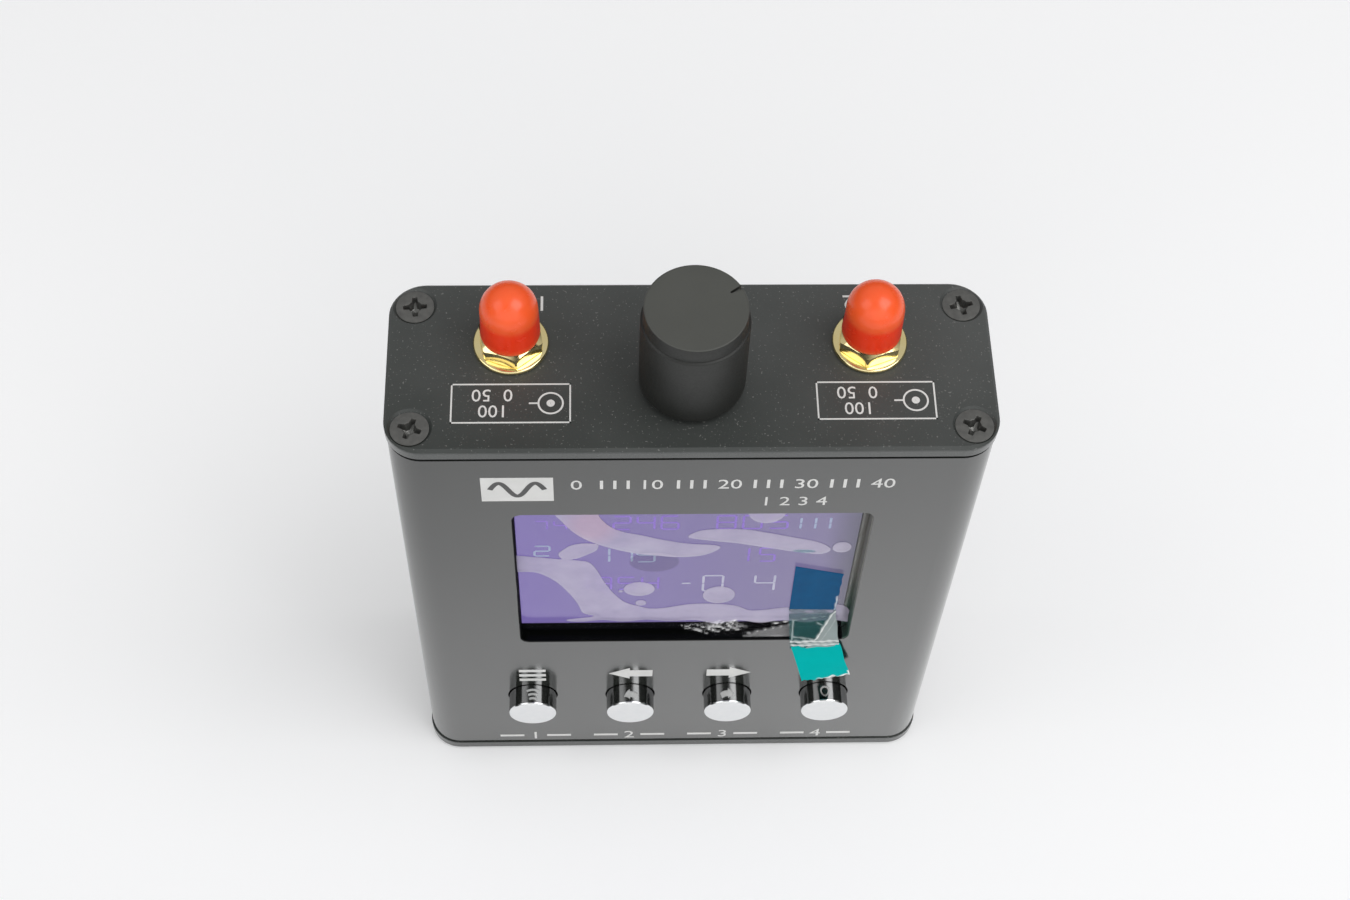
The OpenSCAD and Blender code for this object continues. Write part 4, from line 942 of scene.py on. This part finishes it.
def tape_y(z):
    """The path's depth at each height: film, then half a cosine between the film and the front, then the hang."""
    share = unit((sill_z + slope_h - z) / slope_h)
    return (on_film_y + (on_front_y - on_film_y) * (1.0 - np.cos(np.pi * share)) / 2.0
            - np.maximum(sill_z - z, 0.0) * hang)


def pull_tape():
    """Rows along the tape with v down it and u across it; folds add a few sharp waves to the depth."""
    u, v = np.meshgrid(np.linspace(0.0, 1.0, 46), np.linspace(0.0, 1.0, 170), indexing="ij")
    top = 60.0 - 2.5 * u
    z = top + (37.6 + 0.8 * u - top) * v
    left, right = (np.interp(z, [37.0, glue_foot, 60.0], side) for side in ([16.95, 16.3, 16.25], [24.7, 23.4, 23.55]))
    x = left + (right - left) * u + 0.06 * np.sin(z * 2.1) * (u > 0.9)
    glued = unit((z - glue_foot - 0.3 + 0.4 * u) / 0.12)
    starts = np.array([[20.6, 40.2], [16.6, 46.1], [21.6, 40.3], [17.0, 41.0], [16.9, 39.7], [17.2, 38.6], [23.3, 50.5],
                       [23.6, 46.4], [18.4, 44.6], [20.8, 43.0], [17.1, 43.4], [18.6, 39.1]])
    ends = np.array([[23.9, 46.0], [23.4, 45.9], [24.0, 44.2], [20.4, 40.2], [24.6, 39.9], [24.4, 38.9], [23.3, 46.2],
                     [24.4, 41.4], [22.4, 44.9], [24.3, 41.6], [17.0, 39.6], [23.2, 39.3]])
    width = np.array([0.17, 0.1, 0.1, 0.12, 0.34, 0.3, 0.12, 0.22, 0.07, 0.09, 0.12, 0.42])
    bright = np.array([0.95, 0.45, 0.6, 0.5, 0.9, 0.85, 0.7, 0.8, 0.35, 0.45, 0.5, 0.6])
    ragged = 1.0 + 0.35 * np.sin(x.ravel() * 5.0 + z.ravel() * 3.0)
    # Painted highlight: these lines, and a paler region beside a slanted line, make the creases white in the tape's
    # colour; they also move the tape.
    crease_with_highlight = folds(x.ravel(), z.ravel(), starts, ends, width * ragged[:, None], bright).reshape(x.shape)
    painted_pale_region = unit(((x - 20.6) * 5.8 - (z - 40.2) * 3.3) * 1.5) * (z < glue_foot)
    crease_with_highlight = np.maximum(crease_with_highlight, 0.42 * painted_pale_region)
    wave = 0.06 * np.sin(x * 1.9 + z * 1.3) * unit((glue_foot - z) / 2.0)
    y = tape_y(z) - 0.12 * crease_with_highlight + wave
    y = np.where(z > glue_foot, np.minimum(y, film_high.y - 0.21 - bubble_h), y)
    front, back = (np.stack([x, y + off, z], -1) for off in (-0.04, 0.04))
    return slab(front, back), {"glued": np.tile(glued.ravel(), 2), "crease_with_highlight": np.tile(crease_with_highlight.ravel(), 2)}


def pull_tab():
    """A sheet between four corners: (1-u)(1-v) A + u(1-v) B + (1-u)v C + uv D, with a wavy lower edge."""
    u, v = np.meshgrid(np.linspace(0.0, 1.0, 60), np.linspace(0.0, 1.0, 70), indexing="ij")
    corners = np.array([(17.05, -13.80, 38.1), (24.55, -13.80, 39.0), (19.45, -14.85, 28.2), (26.9, -14.75, 30.0)])
    weights = ((1 - u) * (1 - v), u * (1 - v), (1 - u) * v, u * v)
    place = sum(weight[..., None] * corner for weight, corner in zip(weights, corners))
    edge = 0.28 * np.sin(u * 17.0) * np.sin(u * 5.0 + 1.0) + 0.14 * np.sin(u * 41.0)
    place[..., 2] += edge * v ** 6
    place[..., 0] += 0.06 * np.sin(v * 9.0) * (u > 0.97)
    place[..., 1] += 0.12 * np.sin(v * 5.0 + u * 2.0) + 0.12 * (u * v) ** 4 * np.sin(u * 30.0)
    # Painted highlight: the curled lower edge and lower right corner are painted white.
    torn = unit((v - 0.972 + 0.018 * np.sin(u * 23.0)) / 0.01) * unit((u - 0.28) * 6.0)
    torn = np.maximum(torn, unit((u - 0.965) / 0.01) * unit((v - 0.83) / 0.03))
    return slab(place - [0, 0.06, 0], place + [0, 0.06, 0]), {"torn": np.tile(torn.ravel(), 2)}


for node, (sheet, marks), finish, slot in (("pull_tape", pull_tape(), tape_finish, "clear_tape"),
                                           ("pull_tab", pull_tab(), tab_finish, "teal_tab")):
    piece(node + "_sheet", [sheet], finish, "case", (node,), smooth=60.0, marks=marks)

# %% [markdown]
# ## Printed marks
#
# The marks are white ink on the metal. They are generic: frames, ticks, arrows and plain numbers. A number comes
# from Blender's own font, is turned into a mesh at once, scaled to its height and laid on its surface. Frames,
# ticks and arrows are thin prisms. All of them stand a few hundredths of a millimetre proud, like real ink.


# %% Ink
ink_h, ink_gap = 0.03, 0.002


def number_shape(text, height):
    """The outline of a text as points (x, y, depth) round its middle, with the digits that high, and its faces."""
    curve = bpy.data.curves.new("ink", "FONT")
    curve.body, curve.align_x, curve.align_y, curve.extrude, curve.resolution_u = text, "CENTER", "CENTER", 0.01, 3
    carrier = into_scene("ink", curve)
    mesh = bpy.data.meshes.new_from_object(carrier.evaluated_get(bpy.context.evaluated_depsgraph_get()))
    points = np.empty(len(mesh.vertices) * 3)
    mesh.vertices.foreach_get("co", points)
    points = points.reshape(-1, 3)
    unique, index = np.unique(points.round(5), axis=0, return_inverse=True)
    groups = {}
    for polygon in mesh.polygons:
        corners = index.ravel()[list(polygon.vertices)]
        if len(set(corners.tolist())) == len(corners):
            groups.setdefault(len(corners), []).append(corners)
    bpy.data.objects.remove(carrier)
    bpy.data.meshes.remove(mesh)
    low, high = unique.min(0), unique.max(0)
    unique = (unique - [(low[0] + high[0]) / 2, (low[1] + high[1]) / 2, 0.0]) * (height / (high[1] - low[1]))
    unique[:, 2] = np.where(unique[:, 2] > 0, ink_h, 0.0)
    return unique, [np.array(group) for group in groups.values()]


def bar(x0, z0, x1, z1):
    """The outline of a rectangle between two corners."""
    return np.array([[x0, z0], [x1, z0], [x1, z1], [x0, z1]])


def frame_bars(half_w, half_d, weight):
    """The four bars of a frame round its middle."""
    return [bar(-half_w, -half_d, half_w, weight - half_d), bar(-half_w, half_d - weight, half_w, half_d),
            bar(-half_w, -half_d, weight - half_w, half_d), bar(half_w - weight, -half_d, half_w, half_d)]


def ring(centre, outer, inner):
    """A flat ring of ink: a rectangle (radius, depth) turned about the centre."""
    return turned([[inner, 0.0], [outer, 0.0], [outer, ink_h], [inner, ink_h]], 40, centre, "loop")


def wave_line(x0, x1, middle, swing, weight, turns=1.5):
    """A sine with an even width: both sides are the line moved along its normal."""
    t = np.linspace(0.0, 1.0, 48)
    angle = 2 * np.pi * turns * t
    path = np.column_stack([x0 + (x1 - x0) * t, middle + swing * np.sin(angle)])
    run = np.gradient(path, axis=0)
    side = np.column_stack([-run[:, 1], run[:, 0]]) / np.hypot(*run.T)[:, None] * weight / 2
    sheet = np.stack([path + side, path - side], 1)
    return slab(*(np.concatenate([sheet, np.full((*sheet.shape[:2], 1), level)], -1) for level in (ink_h, 0.0)))


def arrow(tip, base, tail, middle=28.1, head_half=1.9, shaft_half=1.1):
    """An arrow along x: the head from its tip to its base, and the shaft from there to the tail."""
    shaft = bar(min(base, tail), middle - shaft_half, max(base, tail), middle + shaft_half)
    return [np.array([[tip, middle], [base, middle - head_half], [base, middle + head_half]]), shaft]


def on_front_wall(part, x=0.0, z=0.0, lift=0.0):
    """Ink worked out flat is stood on the front wall: (x, y, depth) becomes (x, front - depth, z)."""
    return moved(part, lambda p: np.stack([p[:, 0] + x, sleeve_front - ink_gap - lift - p[:, 2], p[:, 1] + z], -1))


def flat(outlines, lay, *place):
    """Outlines as thin prisms of ink, each laid on its surface at that place."""
    return [lay(prism(outline, 0.0, ink_h), *place) for outline in outlines]


scale_x, scale_step, key_number_x, key_step = -15.6, 10.4, -23.325, 15.65
front_ink = flat([bar(-28.5, 83.0, -18.7, 89.2), *arrow(-11.1, -7.8, -4.2), *arrow(11.4, 8.0, 4.4),
                  *(bar(-25.3, z, -21.1, z + 0.8) for z in (25.7, 27.3, 28.9))], on_front_wall)
front_ink.append(on_front_wall(ring((23.6, 27.7), 2.0, 1.4)))
for step in range(5):
    x = scale_x + step * scale_step
    front_ink.append(on_front_wall(number_shape(str(10 * step), 2.4), x, 87.2))
    front_ink += flat([bar(x + off - 0.22, 86.1, x + off + 0.22, 88.3) for off in (3.4, 5.2, 7.0) if step < 4],
                      on_front_wall)
front_ink.append(on_front_wall(number_shape("1 2 3 4", 2.3), 14.5, 82.5))
for step in range(4):
    x = key_number_x + step * key_step
    front_ink.append(on_front_wall(number_shape(str(step + 1), 2.6), x, 4.4))
    front_ink += flat([bar(x + off - 2.0, 4.05, x + off + 2.0, 4.75) for off in (-3.9, 3.9)], on_front_wall)
piece("front_print", front_ink, print_finish, "case", smooth=30.0)
piece("front_print_wave", [on_front_wall(wave_line(-27.3, -19.9, 86.1, 1.7, 0.75), lift=ink_h + ink_gap)],
      grey_print_finish, "case", smooth=30.0)


def on_lid(part, x=0.0, y=0.0):
    """Ink for the top plate, which reads from the back: turned half round and stood on the plate."""
    return moved(part, lambda p: np.stack([x - p[:, 0], y - p[:, 1], lid_top + ink_gap + p[:, 2]], -1))


lid_ink = []
for number, number_x, left, right, near, far in (("1", -20.2, -32.2, -16.2, -9.2, -2.95),
                                                 ("2", 21.9, 16.6, 32.6, -8.9, -2.85)):
    x, y = (left + right) / 2, (near + far) / 2
    lid_ink += flat(frame_bars((right - left) / 2, (far - near) / 2, 0.22), on_lid, x, y)
    lid_ink += [on_lid(ring((-5.3, 0.0), outer, inner), x, y) for outer, inner in ((1.75, 1.5), (0.55, 0.05))]
    lid_ink += flat([bar(-3.55, -0.12, -2.4, 0.12)], on_lid, x, y)
    lid_ink += [on_lid(number_shape("0  50", 1.9), x - 2.5, y + 1.25),
                on_lid(number_shape("100", 1.9), x - 2.6, y - 1.25),
                on_lid(number_shape(number, 2.4), number_x, 10.1)]
piece("lid_print", lid_ink, print_finish, "case", smooth=30.0)

# %% [markdown]
# ## Finishes for the CAD nodes
#
# Every node gets its finish by the record's material slots, from a table that gives each slot one. A slot that the
# table doesn't have would stop the script, so no node can be left with its plain packed colour.

# %% Dress the nodes
finish_of_slot = {
    "case_anodised": case_finish, "plate_anodised": plate_finish, "black_steel": screw_finish,
    "gold_plate": gold_finish, "white_insulator": insulator_finish, "red_vinyl": vinyl_finish,
    "knob_black": knob_finish, "chrome_key": chrome_finish, "black_moulding": black_finish,
    "pale_moulding": pale_finish, "plated_steel": nickel_finish, "display_face": glass_finish,
    "clear_film": film_finish, "clear_tape": tape_finish, "teal_tab": tab_finish, "foam": foam_finish,
    "amber_flex": cable_finish, "circuit_board": board_finish, "battery_pouch": pouch_finish,
    "wire_red": wire_finish, "lamp_green": lamp_finish,
}
slot_of_node = {entry["node"]: entry["material_slot"] for entry in frame["record"]["subparts"]}
for node_name, node in frame["nodes"].items():
    node.data.materials.clear()
    node.data.materials.append(finish_of_slot[slot_of_node[node_name]].owner)
print("dressed", len(frame["nodes"]), "CAD nodes")

# %% [markdown]
# ## Floor and light
#
# The object stands on a pale floor that glows a little, as a lit table does. Two wide softboxes hang left and right of
# the camera: they give the caps their two highlights and the chrome its two bright bands. The surroundings are bright
# overhead and low in front, which lights the upright faces, and near black round the camera and at the horizon, which
# gives the chrome and the gold something dark to mirror.

# %% Floor, lamps and surroundings
floor_finish = Finish("pale_floor", Roughness=0.7, Emission_Color=(1.0, 1.0, 1.0), Emission_Strength=0.14)
floor_finish.feed(Base_Color=floor_finish.place()[0].noise(160.0).blend((0.86, 0.865, 0.88), (0.89, 0.89, 0.895)))
floor_mesh = bpy.data.meshes.new("floor")
half_floor, floor_z = 3.0, -0.0002
floor_mesh.from_pydata([(x * half_floor, y * half_floor, floor_z) for x, y in ((-1, -1), (1, -1), (1, 1), (-1, 1))],
                       [], [(0, 1, 2, 3)])
floor_mesh.materials.append(floor_finish.owner)
floor = into_scene("floor", floor_mesh)


def lamp(name, place, size, watts, aim=(0.0, 0.0, 0.05)):
    """A square soft lamp that shines from its place towards the object's middle."""
    data = bpy.data.lights.new(name, "AREA")
    data.size, data.energy = size, watts
    aimed = (Vector(place) - Vector(aim)).to_track_quat("Z", "Y").to_matrix().to_4x4()
    into_scene(name, data).matrix_world = Matrix.Translation(Vector(place)) @ aimed


lamp("softbox_right", (0.45, -0.2, 0.87), 0.62, 4.0)
lamp("softbox_left", (-0.6, -0.19, 0.74), 0.56, 1.5)

world = bpy.data.worlds.new("surroundings")
bpy.context.scene.world = world
sky = Finish("surroundings", world, "Background", Strength=0.5)
direction = sky.node("TexCoord", output="Generated")
backward, rise = (sky.node("SeparateXYZ", {}, [direction], output=axis) for axis in "YZ")
over = backward.ramp(-0.4, -0.2) * rise.ramp(0.25, 0.6)
front = backward.ramp(-0.5, -0.6) * rise.ramp(0.0, 0.15)
sky.feed(Color=front.blend(over.blend((0.05, 0.054, 0.052), (1.0, 1.0, 1.0)), (2.4, 2.4, 2.4)))
bpy.context.scene.view_settings.view_transform = "Standard"
